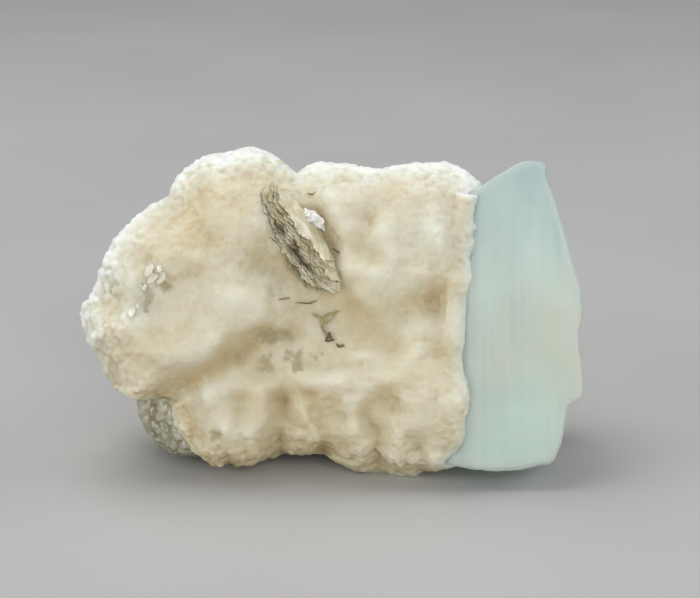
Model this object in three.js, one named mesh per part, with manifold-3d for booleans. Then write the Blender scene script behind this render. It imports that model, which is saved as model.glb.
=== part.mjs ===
// Aquamarine crystal seated in a feldspar matrix with muscovite mica.
// Millimetres. +X right, +Y towards the back, +Z up; the specimen rests on z = 0.
//
// The mass leans back a little as it stands, so its shape is laid out in its own
// "face frame": u to the right, v up along the broad front face, w out of that face.
// FRAME turns the face frame into the standing one.
import * as THREE from 'three';
import { mergeVertices } from 'three/addons/utils/BufferGeometryUtils.js';
import Module from 'manifold-3d';

const wasm = await Module();
wasm.setup();

// ---------------------------------------------------------------- driving dimensions
const LEAN_DEG = 18;            // how far the broad face leans back from upright
const FLOOR = -16.4;            // height of the resting plane below the face frame's origin
const CENTRE = [0.0325, 1.7318]; // middle of the whole specimen in x and y
const GAP = 0.3;                // clearance between pieces that touch

// Rock: outline of the broad face about HUB, front and back depth of the plain body,
// and how softly the lobes run into each other.
const HUB = [-5.2, -0.3];
const ROCK_FRONT = 5.6;
const ROCK_BACK = 10.4;
const ROCK_FULLNESS = 2.5;
const ROCK_BLEND = 0.9;
const ROCK_DETAIL = 14;
const LEDGE_DETAIL = 7;
const OUTLINE = [
  [15.9, 13.3], [15.4, 14.1], [14.5, 14.6], [13.2, 15.7], [11.9, 16.3], [10.6, 16.1], [9.3, 16], [8, 15.9],
  [6.7, 15.7], [5.4, 15.4], [4.1, 15.2], [2.8, 15.3], [1.5, 15.8], [0.2, 15.9], [-1.1, 15.9], [-2.4, 15.8],
  [-3.3, 15.3], [-4.1, 14.7], [-5, 15.7], [-6.3, 16.6], [-7.6, 17.4], [-8.9, 17.6], [-10.2, 17.5], [-11.4, 17.3],
  [-12.7, 16.8], [-14, 16.5], [-15.3, 15.7], [-16.6, 14.3], [-17.8, 12.4], [-19.2, 11.6], [-20.5, 10.6],
  [-21.8, 9.5], [-23.1, 8.2], [-23.9, 6.8], [-24.4, 5.2], [-25.1, 3.6], [-25.7, 2.3], [-26.5, 1.3], [-27, 0.4],
  [-27.1, -0.8], [-26.7, -1.8], [-26.1, -2.9], [-25.6, -4], [-24.9, -5.1], [-24.5, -6.2], [-24, -7.2],
  [-22.8, -8.1], [-21.4, -8.5], [-20.2, -9], [-18.9, -9.8], [-17.6, -11.3], [-16.1, -13.3], [-14.8, -14.8],
  [-13.3, -15.8], [-11.4, -16.3], [-9.9, -16.3], [-8.5, -16], [-7.2, -15.6], [-5.9, -15.1], [-4.3, -15],
  [-2.5, -15], [-1.1, -15.1], [0.1, -16], [1.5, -16.7], [2.8, -17.1], [4.3, -17.4], [5.9, -17.6], [7.3, -17.6],
  [9, -17.4], [10.3, -17.1], [11.4, -16.6], [12.7, -16.1], [13.7, -15], [14.5, -12.6], [14.8, -9.4],
  [14.9, -5.1], [14.7, -0.8], [14.4, 3.6], [14.8, 7.9], [15.4, 11.1]];

// Rounded masses of the rock: [u, v, w, ru, rv, rw, turn in degrees]
const LOBES = [
  [-14.6, 4.6, -0.2, 11.6, 9, 8.3, 20],
  [-10.6, 9.3, -0.6, 8.6, 7.6, 8.8, 0],
  [-19.4, -1.9, 0.6, 7.6, 5.3, 7.2, 14],
  [-10.8, 0.6, 1, 8.6, 5.4, 7.2, 14],
  [7.4, 7, -0.5, 8.8, 8.6, 7.4, 0],
  [10.6, 11.2, -1.5, 5.4, 4.8, 7.4, 0],
  [1.4, 10.6, -1.2, 6.4, 5.2, 8, 0],
  [4.9, 3.4, 0.4, 5.2, 5.4, 7, -15],
  [8.2, -3.4, 0.2, 6.4, 4.6, 6.2, 0],
  [9, -10, 1.6, 6.3, 6.6, 7, -12],
  [3.6, -9.4, 2.2, 3.6, 5.6, 4.8, 10],
  [1.8, -6.4, 2.2, 5.4, 2.6, 5, 0],
  [-2, -8.9, 2, 3, 5, 4.6, 12],
  [-7.4, -9.6, 1.2, 3.6, 4.3, 4.4, 0],
  [-11.7, -10.8, 1, 4.7, 4.8, 4.9, 0],
  [-12.4, -7.9, 2.2, 3.2, 2.2, 3.7, 15],
  [-23.2, -4.2, 0, 3.2, 4, 5.6, 0],
];
const BACK_LOBES = [
  [-12.5, 4.6, -5.2, 10.4, 9.6, 7.2, 0],
  [3.6, 6.2, -5.4, 10, 8.4, 7, 0],
  [-4, -5.4, -6, 11.2, 8.2, 6.8, 0],
  [-17.8, -2.6, -3.6, 7.4, 6.8, 6.6, 0],
  [7.4, -8, -8.6, 6.4, 6.9, 4.8, 0],
  [-10.4, -8.4, -8, 6.4, 6.8, 4.8, 0],
];
// The shelf of rock that runs out behind the crystal.
const LEDGE = [
  [13, -4.3, -9.4, 9, 5.2, 3.4, 0],
  [20.8, -1.8, -9, 5.8, 3.3, 2.9, 0],
  [21.8, -6.4, -9, 5.2, 3.9, 3.1, 0],
];
// Dips in the front of the rock.
const HOLLOWS = [
  [-6.5, -5.2, 8.6, 7.4, 2.5, 3.2, 16],
  [-3.2, 3, 10.4, 3.4, 6.4, 3, 36],
  [12.2, 0.2, 8.6, 3.2, 3.4, 3.2, 0],
  [6, -10.8, 9.6, 1.4, 4.6, 3, 8],
  [-4.7, -12, 7.4, 1.9, 5, 3.2, -10],
];
const WAVES = [[7.5, 1.3], [3.4, 0.6]];   // [length, height] of the irregular waviness

// Aquamarine: outline of its broad prism face and the section across its length.
const BERYL_FRONT = 5.4;        // w of the broad prism face
const BERYL_BACK = -6.6;        // w of the opposite face
const BERYL_OUTLINE = [[11.9, -16.6], [13.7, -16.8], [16.7, -17.2], [19.1, -17.1], [21.6, -16.6], [23.4, -16.1], [24.0, -15.0],
  [24.6, -12.6], [25.1, -10.5], [25.7, -6.2], [26.4, -1.8], [26.7, 1.4], [26.0, 4.0], [24.6, 9.0], [23.5, 12.2], [22.9, 14.4],
  [22.9, 16.0], [22.4, 16.4], [21.3, 16.5], [20.1, 16.1], [17.8, 14.9], [16.0, 13.6], [9.8, 11.4], [8.6, -1.8], [9.8, -14.2]];
const BERYL_TURN_DEG = -6.5;    // lean of the prism axis in the broad face
const BERYL_LIFT = 0.5;         // lowest edge of its broken foot above the resting plane
const BERYL_FOOT_DEG = 5;       // slope of that foot, rising to the front
const BERYL_SECTION = [[13.9, BERYL_FRONT], [25.4, BERYL_FRONT], [28.6, -0.4], [25.6, BERYL_BACK], [13.6, BERYL_BACK], [10.2, -0.6]];

// Mica book: length, width across the plates, plate tiers, and how it is turned.
const BOOK_CENTRE = [-4.2, 7.3, 6.85];
const BOOK_RUN_DEG = -54;       // direction of its length in the broad face
const BOOK_TIP_DEG = 40;        // how far the cleavage face turns to the front
const BOOK_LENGTH = 12.2;
const BOOK_WIDTH = 4.8;
const BOOK_TIERS = [            // [bottom, top, from, to, near edge, far edge] along normal, length and width
  [-1.7, -1.0, 0.06, 0.92, 0.00, 0.94],
  [-1.05, -0.35, 0.00, 0.97, 0.04, 1.00],
  [-0.40, 0.30, 0.05, 1.00, 0.00, 0.97],
  [0.25, 0.85, 0.02, 0.90, 0.10, 0.98],
  [0.80, 1.35, 0.08, 0.72, 0.16, 0.92],
];

// Small mica blades: [u0, v0, u1, v1, w from, w to, thickness]
const FLAKE_LEFT = [
  [-20.3, 5.0, -18.3, 3.3, 3.6, 7.4, 0.55],
  [-19.6, 4.2, -19.4, 0.2, 3.6, 7.2, 0.50],
  [-19.6, 0.5, -21.5, -0.5, 3.6, 7.5, 0.55],
];
const FLAKE_CENTRE = [
  [-2.2, 0.1, -0.6, -0.6, 2.8, 6.0, 0.42],
  [-0.7, -0.5, 0.9, 0.2, 2.8, 6.0, 0.42],
  [-0.6, -0.4, -0.8, -2.2, 2.8, 6.0, 0.45],
  [-0.8, -2.0, 0.0, -3.4, 2.8, 6.2, 0.50],
  [-0.1, -3.3, 1.1, -3.7, 2.8, 6.4, 0.42],
];

// Quartz grain under the left lip: [u, v, w, ru, rv, rw, turn in degrees]
const QUARTZ = [-17.6, -11.2, -2.6, 3.3, 4.6, 4.4, 38];
const QUARTZ_DETAIL = 4;

// ---------------------------------------------------------------- geometry helpers
const FRAME = new THREE.Matrix4().makeRotationX(THREE.MathUtils.degToRad(90 - LEAN_DEG));

function solidOf(geometry) {
  const g = geometry.clone();
  g.deleteAttribute('normal');
  g.deleteAttribute('uv');
  const m = mergeVertices(g, 1e-4);
  return new wasm.Manifold(new wasm.Mesh({
    numProp: 3,
    vertProperties: new Float32Array(m.attributes.position.array),
    triVerts: new Uint32Array(m.index.array),
  }));
}

function faceSolid(geometry) {
  return solidOf(geometry.applyMatrix4(FRAME));
}

function unite(list) {
  return list.reduce((a, b) => a.add(b));
}

// Distance from HUB to the outline in a given direction.
const POLAR = OUTLINE.map(([u, v]) => [Math.atan2(v - HUB[1], u - HUB[0]), Math.hypot(u - HUB[0], v - HUB[1])])
  .sort((a, b) => a[0] - b[0]);
function reach(angle) {
  const n = POLAR.length;
  let i = 0;
  while (i < n && POLAR[i][0] < angle) i++;
  const lo = i === 0 ? [POLAR[n - 1][0] - 2 * Math.PI, POLAR[n - 1][1]] : POLAR[i - 1];
  const hi = i === n ? [POLAR[0][0] + 2 * Math.PI, POLAR[0][1]] : POLAR[i];
  const t = (angle - lo[0]) / (hi[0] - lo[0]);
  return lo[1] + t * (hi[1] - lo[1]);
}

// Gradient noise on a whole-number lattice, about -1 to 1.
function lattice(x, y, z, seed) {
  let h = Math.imul(x, 0x8da6b343) ^ Math.imul(y, 0xd8163841) ^ Math.imul(z, 0xcb1ab31f) ^ Math.imul(seed, 0x9e3779b1);
  h ^= h >>> 15; h = Math.imul(h, 0x2c1b3c6d); h ^= h >>> 12; h = Math.imul(h, 0x297a2d39); h ^= h >>> 15;
  return h >>> 0;
}
function noise(x, y, z, seed) {
  const ix = Math.floor(x), iy = Math.floor(y), iz = Math.floor(z);
  const fx = x - ix, fy = y - iy, fz = z - iz;
  const ease = (t) => t * t * t * (t * (t * 6 - 15) + 10);
  const tx = ease(fx), ty = ease(fy), tz = ease(fz);
  let sum = 0;
  for (let a = 0; a < 2; a++) for (let b = 0; b < 2; b++) for (let c = 0; c < 2; c++) {
    const h = lattice(ix + a, iy + b, iz + c, seed);
    const gx = (h & 1023) / 511.5 - 1, gy = ((h >>> 10) & 1023) / 511.5 - 1, gz = ((h >>> 20) & 1023) / 511.5 - 1;
    sum += (a ? tx : 1 - tx) * (b ? ty : 1 - ty) * (c ? tz : 1 - tz) * (gx * (fx - a) + gy * (fy - b) + gz * (fz - c));
  }
  return sum * 1.4;
}
function wavy(p) {
  return p.map((q, k) => q + WAVES.reduce((s, [l, h], i) => s + h * noise(p[0] / l, p[1] / l, p[2] / l, 11 + 10 * i + k), 0));
}

// Signed distances, negative inside: one rounded mass, the plain body, and all of them run together.
function lobeDistance([x, y, z], [u, v, w, ru, rv, rw, turn]) {
  const c = Math.cos(THREE.MathUtils.degToRad(turn)), s = Math.sin(THREE.MathUtils.degToRad(turn));
  const X = (c * (x - u) + s * (y - v)) / ru, Y = (-s * (x - u) + c * (y - v)) / rv, Z = (z - w) / rw;
  const q = Math.hypot(X, Y, Z) + 1e-9;
  return q * (q - 1) / (Math.hypot(X / ru, Y / rv, Z / rw) + 1e-9);
}
function bodyDistance([u, v, w]) {
  const r = Math.hypot(u - HUB[0], v - HUB[1]), R = reach(Math.atan2(v - HUB[1], u - HUB[0]));
  const rho = Math.pow(Math.pow(r / R, ROCK_FULLNESS) + Math.pow(Math.abs(w / (w > 0 ? ROCK_FRONT : ROCK_BACK)), ROCK_FULLNESS),
    1 / ROCK_FULLNESS) + 1e-9;
  return Math.hypot(r, w) * (1 - 1 / rho);
}
function blend(list, k) {
  const m = Math.min(...list);
  return m - k * Math.log(list.reduce((s, d) => s + Math.exp(-(d - m) / k), 0));
}
function rockDistance(p) {
  const q = wavy(p);
  let d = blend([bodyDistance(p), ...LOBES.map((l) => lobeDistance(q, l)), ...BACK_LOBES.map((l) => lobeDistance(q, l))], ROCK_BLEND);
  for (const h of HOLLOWS) d = -blend([-d, lobeDistance(q, h)], 0.5);
  const r = Math.hypot(p[0] - HUB[0], p[1] - HUB[1]);
  return Math.max(d, r - reach(Math.atan2(p[1] - HUB[1], p[0] - HUB[0])) - 0.15);
}
function ledgeDistance(p) {
  const q = wavy(p);
  return blend(LEDGE.map((l) => lobeDistance(q, l)), 0.4);
}

// A ball whose every point is carried out to where the distance is zero.
function grownBall(centre, detail, distance) {
  const g = new THREE.IcosahedronGeometry(1, detail);
  const p = g.attributes.position;
  const found = new Map();
  for (let i = 0; i < p.count; i++) {
    const n = [p.getX(i), p.getY(i), p.getZ(i)];
    const key = n.map((c) => c.toFixed(5)).join();
    if (!found.has(key)) {
      const at = (t) => [centre[0] + n[0] * t, centre[1] + n[1] * t, centre[2] + n[2] * t];
      let out = 34, d = distance(at(out));
      let inside = out;
      while (d > 0 && inside > 0.2) { out = inside; inside -= Math.max(0.12, 0.5 * d); d = distance(at(Math.max(inside, 0.2))); }
      inside = Math.max(inside, 0.2);
      for (let k = 0; k < 16; k++) { const mid = (inside + out) / 2; if (distance(at(mid)) > 0) out = mid; else inside = mid; }
      found.set(key, at((inside + out) / 2));
    }
    p.setXYZ(i, ...found.get(key));
  }
  return faceSolid(g);
}

function ellipsoid([cu, cv, cw, ru, rv, rw, turn], detail, grow = 0) {
  const g = new THREE.IcosahedronGeometry(1, detail);
  g.scale(ru + grow, rv + grow, rw + grow);
  const p = g.attributes.position;
  for (let i = 0; i < p.count; i++) {
    const f = 1 + 0.09 * noise(p.getX(i) / 3, p.getY(i) / 3, p.getZ(i) / 3, 71);
    p.setXYZ(i, p.getX(i) * f, p.getY(i) * f, p.getZ(i) * f);
  }
  g.rotateZ(THREE.MathUtils.degToRad(turn));
  g.translate(cu, cv, cw);
  return faceSolid(g);
}

// Flat polygon in u, v extruded between two levels of w.
function slab(points, w0, w1) {
  const g = new THREE.ExtrudeGeometry(new THREE.Shape(points.map(([x, y]) => new THREE.Vector2(x, y))),
    { depth: w1 - w0, bevelEnabled: false });
  g.translate(0, 0, w0);
  return g;
}

function halfAbove(z, tiltX = 0, tiltY = 0) {
  const g = new THREE.BoxGeometry(200, 200, 100);
  g.translate(0, 0, 50);
  g.rotateX(tiltX);
  g.rotateY(tiltY);
  g.translate(0, 0, z);
  return solidOf(g);
}

// Move polygon points away from their middle, for a clearance around the piece.
function grown(points, by) {
  const cx = points.reduce((a, q) => a + q[0], 0) / points.length;
  const cy = points.reduce((a, q) => a + q[1], 0) / points.length;
  return points.map(([x, y]) => {
    const l = Math.hypot(x - cx, y - cy);
    return [x + (x - cx) / l * by, y + (y - cy) / l * by];
  });
}

// Aquamarine: a hexagonal prism trimmed by the outline of its broken top, side and foot.
function beryl(grow) {
  const trim = slab(grown(BERYL_OUTLINE, grow), BERYL_BACK - 2, BERYL_FRONT + 2);
  const p = trim.attributes.position;
  for (let i = 0; i < p.count; i++) {          // the broken sides draw in towards the back
    const f = 1 - 0.012 * (BERYL_FRONT - p.getZ(i));
    p.setXYZ(i, 17.5 + (p.getX(i) - 17.5) * f, 0.5 + (p.getY(i) - 0.5) * f, p.getZ(i));
  }
  const prism = slab(grown(BERYL_SECTION.map(([u, w]) => [u, -w]), grow * 1.15), -24, 24);
  prism.rotateX(-Math.PI / 2);                 // section in u and w, length along v
  prism.translate(-19, 0, 0);
  prism.rotateZ(THREE.MathUtils.degToRad(BERYL_TURN_DEG));
  prism.translate(19, 0, 0);
  const foot = halfAbove(FLOOR + BERYL_LIFT - grow, THREE.MathUtils.degToRad(BERYL_FOOT_DEG));
  return faceSolid(trim).intersect(faceSolid(prism)).intersect(foot);
}

// Mica book: tiers of plates, each a stretched six-sided sheet, stacked along the book's normal.
function book(grow) {
  const run = THREE.MathUtils.degToRad(BOOK_RUN_DEG), tip = THREE.MathUtils.degToRad(BOOK_TIP_DEG);
  const a = new THREE.Vector3(Math.cos(run), Math.sin(run), 0);
  const side = new THREE.Vector3(-Math.sin(run), Math.cos(run), 0);
  const n = side.clone().multiplyScalar(Math.cos(tip)).add(new THREE.Vector3(0, 0, Math.sin(tip)));
  const b = new THREE.Vector3().crossVectors(n, a);
  const turn = new THREE.Matrix4().makeBasis(a, b, n).setPosition(...BOOK_CENTRE);
  const L = BOOK_LENGTH, W = BOOK_WIDTH;
  return unite(BOOK_TIERS.map(([z0, z1, from, to, near, far]) => {
    const x0 = (from - 0.5) * L - grow, x1 = (to - 0.5) * L + grow;
    const y0 = (0.5 - far) * W - grow, y1 = (0.5 - near) * W + grow;
    const ym = (y0 + y1) / 2, cut = (x1 - x0) * 0.16;
    const g = slab([[x0, ym - 0.2 * W], [x0 + cut, y0], [x1 - cut * 1.4, y0], [x1, ym + 0.1 * W], [x1 - cut, y1],
      [x0 + cut * 0.7, y1]], z0 - grow, z1 + grow);
    return faceSolid(g.applyMatrix4(turn));
  }));
}

// Small mica cluster: narrow blades that stand in the rock and join at their ends.
function blades(list, grow) {
  return unite(list.map(([u0, v0, u1, v1, w0, w1, t]) => {
    const l = Math.hypot(u1 - u0, v1 - v0), dx = (u1 - u0) / l, dy = (v1 - v0) / l;
    const h = t / 2 + grow, e = 0.15 + grow;
    const at = (s, k) => [u0 + dx * s - dy * k, v0 + dy * s + dx * k];
    return faceSolid(slab([at(-e, 0), at(0, -h), at(l, -h), at(l + e, 0), at(l, h), at(0, h)], w0 - grow, w1 + grow));
  }));
}

function piece(name, solid, material) {
  const { numProp, vertProperties, triVerts } = solid.getMesh();
  if (numProp !== 3) throw new Error(`${name}: ${numProp} values a vertex`);
  const g = new THREE.BufferGeometry();
  g.setAttribute('position', new THREE.BufferAttribute(new Float32Array(vertProperties), 3));
  g.setIndex(new THREE.BufferAttribute(new Uint32Array(triVerts), 1));
  g.computeVertexNormals();
  const mesh = new THREE.Mesh(g, material);
  mesh.name = name;
  return mesh;
}

// ---------------------------------------------------------------- the pieces
const above = halfAbove(FLOOR);
const crystal = beryl(0);
const micaBook = book(0);
const flakeLeft = blades(FLAKE_LEFT, 0);
const flakeCentre = blades(FLAKE_CENTRE, 0);
const quartz = ellipsoid(QUARTZ, QUARTZ_DETAIL).intersect(halfAbove(FLOOR + 0.6));

const rock = grownBall([-4, -0.5, -1], ROCK_DETAIL, rockDistance)
  .add(grownBall([17.5, -4.2, -9.2], LEDGE_DETAIL, ledgeDistance))
  .intersect(above)
  .subtract(beryl(GAP))
  .subtract(book(GAP))
  .subtract(blades(FLAKE_LEFT, GAP))
  .subtract(blades(FLAKE_CENTRE, GAP))
  .subtract(ellipsoid(QUARTZ, QUARTZ_DETAIL, GAP));

const object = new THREE.Group();
object.name = 'aquamarine_specimen';
object.position.set(-CENTRE[0], -CENTRE[1], -FLOOR);
object.add(
  piece('matrix', rock, new THREE.MeshStandardMaterial({ color: 0xddd8c4, roughness: 0.85, metalness: 0 })),
  piece('aquamarine_crystal', crystal, new THREE.MeshStandardMaterial({ color: 0xbccbc3, roughness: 0.28, metalness: 0 })),
  piece('mica_book', micaBook, new THREE.MeshStandardMaterial({ color: 0xa9a184, roughness: 0.3, metalness: 0.3 })),
  piece('mica_flake_left', flakeLeft, new THREE.MeshStandardMaterial({ color: 0xcfc9ad, roughness: 0.3, metalness: 0.3 })),
  piece('mica_flake_centre', flakeCentre, new THREE.MeshStandardMaterial({ color: 0x6e6243, roughness: 0.35, metalness: 0.3 })),
  piece('quartz_chunk', quartz, new THREE.MeshStandardMaterial({ color: 0x7e785c, roughness: 0.4, metalness: 0 })),
);

export default object;
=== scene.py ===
"""Aquamarine crystal in a feldspar matrix with muscovite mica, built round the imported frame. Metres, +Z up."""
import math

import bpy
import numpy as np
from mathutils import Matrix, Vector
from mathutils.bvhtree import BVHTree

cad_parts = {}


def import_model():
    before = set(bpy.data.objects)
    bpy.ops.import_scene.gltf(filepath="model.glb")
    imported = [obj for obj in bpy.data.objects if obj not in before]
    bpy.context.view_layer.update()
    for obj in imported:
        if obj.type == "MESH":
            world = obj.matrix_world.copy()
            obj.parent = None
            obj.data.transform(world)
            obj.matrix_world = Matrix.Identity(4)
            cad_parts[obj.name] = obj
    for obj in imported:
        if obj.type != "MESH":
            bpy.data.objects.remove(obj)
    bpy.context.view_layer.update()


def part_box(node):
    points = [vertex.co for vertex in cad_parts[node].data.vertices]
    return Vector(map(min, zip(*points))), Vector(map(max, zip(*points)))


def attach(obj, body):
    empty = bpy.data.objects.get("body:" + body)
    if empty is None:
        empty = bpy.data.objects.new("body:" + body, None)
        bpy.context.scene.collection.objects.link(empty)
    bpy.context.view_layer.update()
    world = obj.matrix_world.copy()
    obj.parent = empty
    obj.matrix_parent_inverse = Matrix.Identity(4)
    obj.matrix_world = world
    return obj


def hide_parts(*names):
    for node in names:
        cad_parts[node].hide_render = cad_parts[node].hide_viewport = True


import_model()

# ------------------------------------------------------------------ the standing frame
# The specimen's broad face leans back by LEAN. Its shape is laid out in face
# coordinates in millimetres: u right, v up along the face, w out of it.
LEAN = math.radians(18.0)
SL, CL = math.sin(LEAN), math.cos(LEAN)
FLOOR = -16.4
# The rock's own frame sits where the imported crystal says: its box gives the shift.
_lo, _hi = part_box("aquamarine_crystal")
SHIFT = np.array([_lo.x * 1000 - 9.5697, _lo.y * 1000 + 10.4514, 0.0])


def world(p):
    """Face coordinates in mm to metres in the row frame."""
    p = np.asarray(p, float)
    x = p[..., 0] + SHIFT[0]
    y = p[..., 1] * SL - p[..., 2] * CL + SHIFT[1]
    z = p[..., 1] * CL + p[..., 2] * SL - FLOOR
    return np.stack([x, y, z], -1) * 0.001


# ------------------------------------------------------------------ noise
def lattice(x, y, z, seed):
    with np.errstate(over="ignore"):
        h = ((x.astype(np.uint32) * np.uint32(0x8DA6B343)) ^ (y.astype(np.uint32) * np.uint32(0xD8163841))
             ^ (z.astype(np.uint32) * np.uint32(0xCB1AB31F)) ^ np.uint32((seed * 0x9E3779B1) & 0xFFFFFFFF))
        h ^= h >> np.uint32(15)
        h *= np.uint32(0x2C1B3C6D)
        h ^= h >> np.uint32(12)
        h *= np.uint32(0x297A2D39)
        h ^= h >> np.uint32(15)
    return h


def noise(P, seed):
    """Gradient noise, about -1 to 1."""
    base = np.floor(P)
    f = (P - base).astype(np.float32)
    cell = base.astype(np.int64)
    t = f * f * f * (f * (f * 6 - 15) + 10)
    out = np.zeros(P.shape[:-1], np.float32)
    for dx in (0, 1):
        wx = t[..., 0] if dx else 1 - t[..., 0]
        for dy in (0, 1):
            wy = t[..., 1] if dy else 1 - t[..., 1]
            for dz in (0, 1):
                wz = t[..., 2] if dz else 1 - t[..., 2]
                h = lattice(cell[..., 0] + dx, cell[..., 1] + dy, cell[..., 2] + dz, seed)
                gx = (h & np.uint32(1023)).astype(np.float32) / 511.5 - 1
                gy = ((h >> np.uint32(10)) & np.uint32(1023)).astype(np.float32) / 511.5 - 1
                gz = ((h >> np.uint32(20)) & np.uint32(1023)).astype(np.float32) / 511.5 - 1
                out += wx * wy * wz * (gx * (f[..., 0] - dx) + gy * (f[..., 1] - dy) + gz * (f[..., 2] - dz))
    return out * 1.4


def cells(P, seed):
    """Distance to the nearest and second nearest of one jittered point per unit cell."""
    base = np.floor(P).astype(np.int64)
    f1 = np.full(P.shape[:-1], 9.0, np.float32)
    f2 = np.full(P.shape[:-1], 9.0, np.float32)
    for dx in (-1, 0, 1):
        for dy in (-1, 0, 1):
            for dz in (-1, 0, 1):
                c = base + np.array([dx, dy, dz])
                h = lattice(c[..., 0], c[..., 1], c[..., 2], seed)
                j = np.stack([(h & np.uint32(1023)), (h >> np.uint32(10)) & np.uint32(1023),
                              (h >> np.uint32(20)) & np.uint32(1023)], -1).astype(np.float32) / 1023.0
                d = np.sqrt(((c + j - P) ** 2).sum(-1)).astype(np.float32)
                f2 = np.minimum(f2, np.maximum(f1, d))
                f1 = np.minimum(f1, d)
    return f1, f2


# ------------------------------------------------------------------ the rock's shape
HUB = (-5.2, -0.3)
OUTLINE = [
    [15.9, 13.3], [15.4, 14.1], [14.5, 14.6], [13.2, 15.7], [11.9, 16.3], [10.6, 16.1], [9.3, 16], [8, 15.9],
    [6.7, 15.7], [5.4, 15.4], [4.1, 15.2], [2.8, 15.3], [1.5, 15.8], [0.2, 15.9], [-1.1, 15.9], [-2.4, 15.8],
    [-3.3, 15.3], [-4.1, 14.7], [-5, 15.7], [-6.3, 16.6], [-7.6, 17.4], [-8.9, 17.6], [-10.2, 17.5], [-11.4, 17.3],
    [-12.7, 16.8], [-14, 16.5], [-15.3, 15.7], [-16.6, 14.3], [-17.8, 12.4], [-19.2, 11.6], [-20.5, 10.6],
    [-21.8, 9.5], [-23.1, 8.2], [-23.9, 6.8], [-24.4, 5.2], [-25.1, 3.6], [-25.7, 2.3], [-26.5, 1.3], [-27, 0.4],
    [-27.1, -0.8], [-26.7, -1.8], [-26.1, -2.9], [-25.6, -4], [-24.9, -5.1], [-24.5, -6.2], [-24, -7.2],
    [-22.8, -8.1], [-21.4, -8.5], [-20.2, -9], [-18.9, -9.8], [-17.6, -11.3], [-16.1, -13.3], [-14.8, -14.8],
    [-13.3, -15.8], [-11.4, -16.3], [-9.9, -16.3], [-8.5, -16], [-7.2, -15.6], [-5.9, -15.1], [-4.3, -15],
    [-2.5, -15], [-1.1, -15.1], [0.1, -16], [1.5, -16.7], [2.8, -17.1], [4.3, -17.4], [5.9, -17.6], [7.3, -17.6],
    [9, -17.4], [10.3, -17.1], [11.4, -16.6], [12.7, -16.1], [13.7, -15], [14.5, -12.6], [14.8, -9.4],
    [14.9, -5.1], [14.7, -0.8], [14.4, 3.6], [14.8, 7.9], [15.4, 11.1]]
ROCK_FRONT, ROCK_BACK, ROCK_FULLNESS, ROCK_BLEND = 5.6, 10.4, 2.5, 0.9
LOBES = [
    (-14.6, 4.6, -0.2, 11.6, 9.0, 8.3, 20), (-10.6, 9.3, -0.6, 8.6, 7.6, 8.8, 0), (-19.4, -1.9, 0.6, 7.6, 5.3, 7.2, 14),
    (-10.8, 0.6, 1.0, 8.6, 5.4, 7.2, 14), (7.4, 7.0, -0.5, 8.8, 8.6, 7.4, 0), (10.6, 11.2, -1.5, 5.4, 4.8, 7.4, 0),
    (1.4, 10.6, -1.2, 6.4, 5.2, 8.0, 0), (4.9, 3.4, 0.4, 5.2, 5.4, 7.0, -15), (8.2, -3.4, 0.2, 6.4, 4.6, 6.2, 0),
    (9.0, -10.0, 1.6, 6.3, 6.6, 7.0, -12), (3.6, -9.4, 2.2, 3.6, 5.6, 4.8, 10), (1.8, -6.4, 2.2, 5.4, 2.6, 5.0, 0),
    (-2.0, -8.9, 2.0, 3.0, 5.0, 4.6, 12), (-7.4, -9.6, 1.2, 3.6, 4.3, 4.4, 0), (-11.7, -10.8, 1.0, 4.7, 4.8, 4.9, 0),
    (-12.4, -7.9, 2.2, 3.2, 2.2, 3.7, 15), (-23.2, -4.2, 0.0, 3.2, 4.0, 5.6, 0), (-21.3, -6.2, 0.6, 3.4, 3.0, 4.6, -20), (11.7, -13.0, 2.8, 2.9, 3.3, 4.2, 0)]
BACK_LOBES = [
    (-12.5, 4.6, -5.2, 10.4, 9.6, 7.2, 0), (3.6, 6.2, -5.4, 10.0, 8.4, 7.0, 0), (-4.0, -5.4, -6.0, 11.2, 8.2, 6.8, 0),
    (-17.8, -2.6, -3.6, 7.4, 6.8, 6.6, 0), (7.4, -8.0, -8.6, 6.4, 6.9, 4.8, 0), (-10.4, -8.4, -8.0, 6.4, 6.8, 4.8, 0)]
LEDGE = [(13.0, -4.3, -9.4, 9.0, 5.2, 3.4, 0), (21.0, -0.5, -8.8, 5.6, 3.2, 3.0, 0), (21.0, -4.0, -8.9, 5.2, 3.2, 3.0, 0), (21.0, -6.2, -8.8, 5.5, 3.4, 3.2, 0)]
HOLLOWS = [
    (-6.6, -5.8, 8.7, 7.4, 2.3, 3.1, 16), (-3.2, 3.0, 10.4, 3.4, 6.4, 3.0, 36), (12.2, 0.2, 8.6, 3.2, 3.4, 3.2, 0),
    (5.6, -11.6, 9.9, 1.7, 4.2, 2.9, 8), (-4.7, -12.0, 7.4, 1.9, 5.0, 3.2, -10)]

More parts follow.
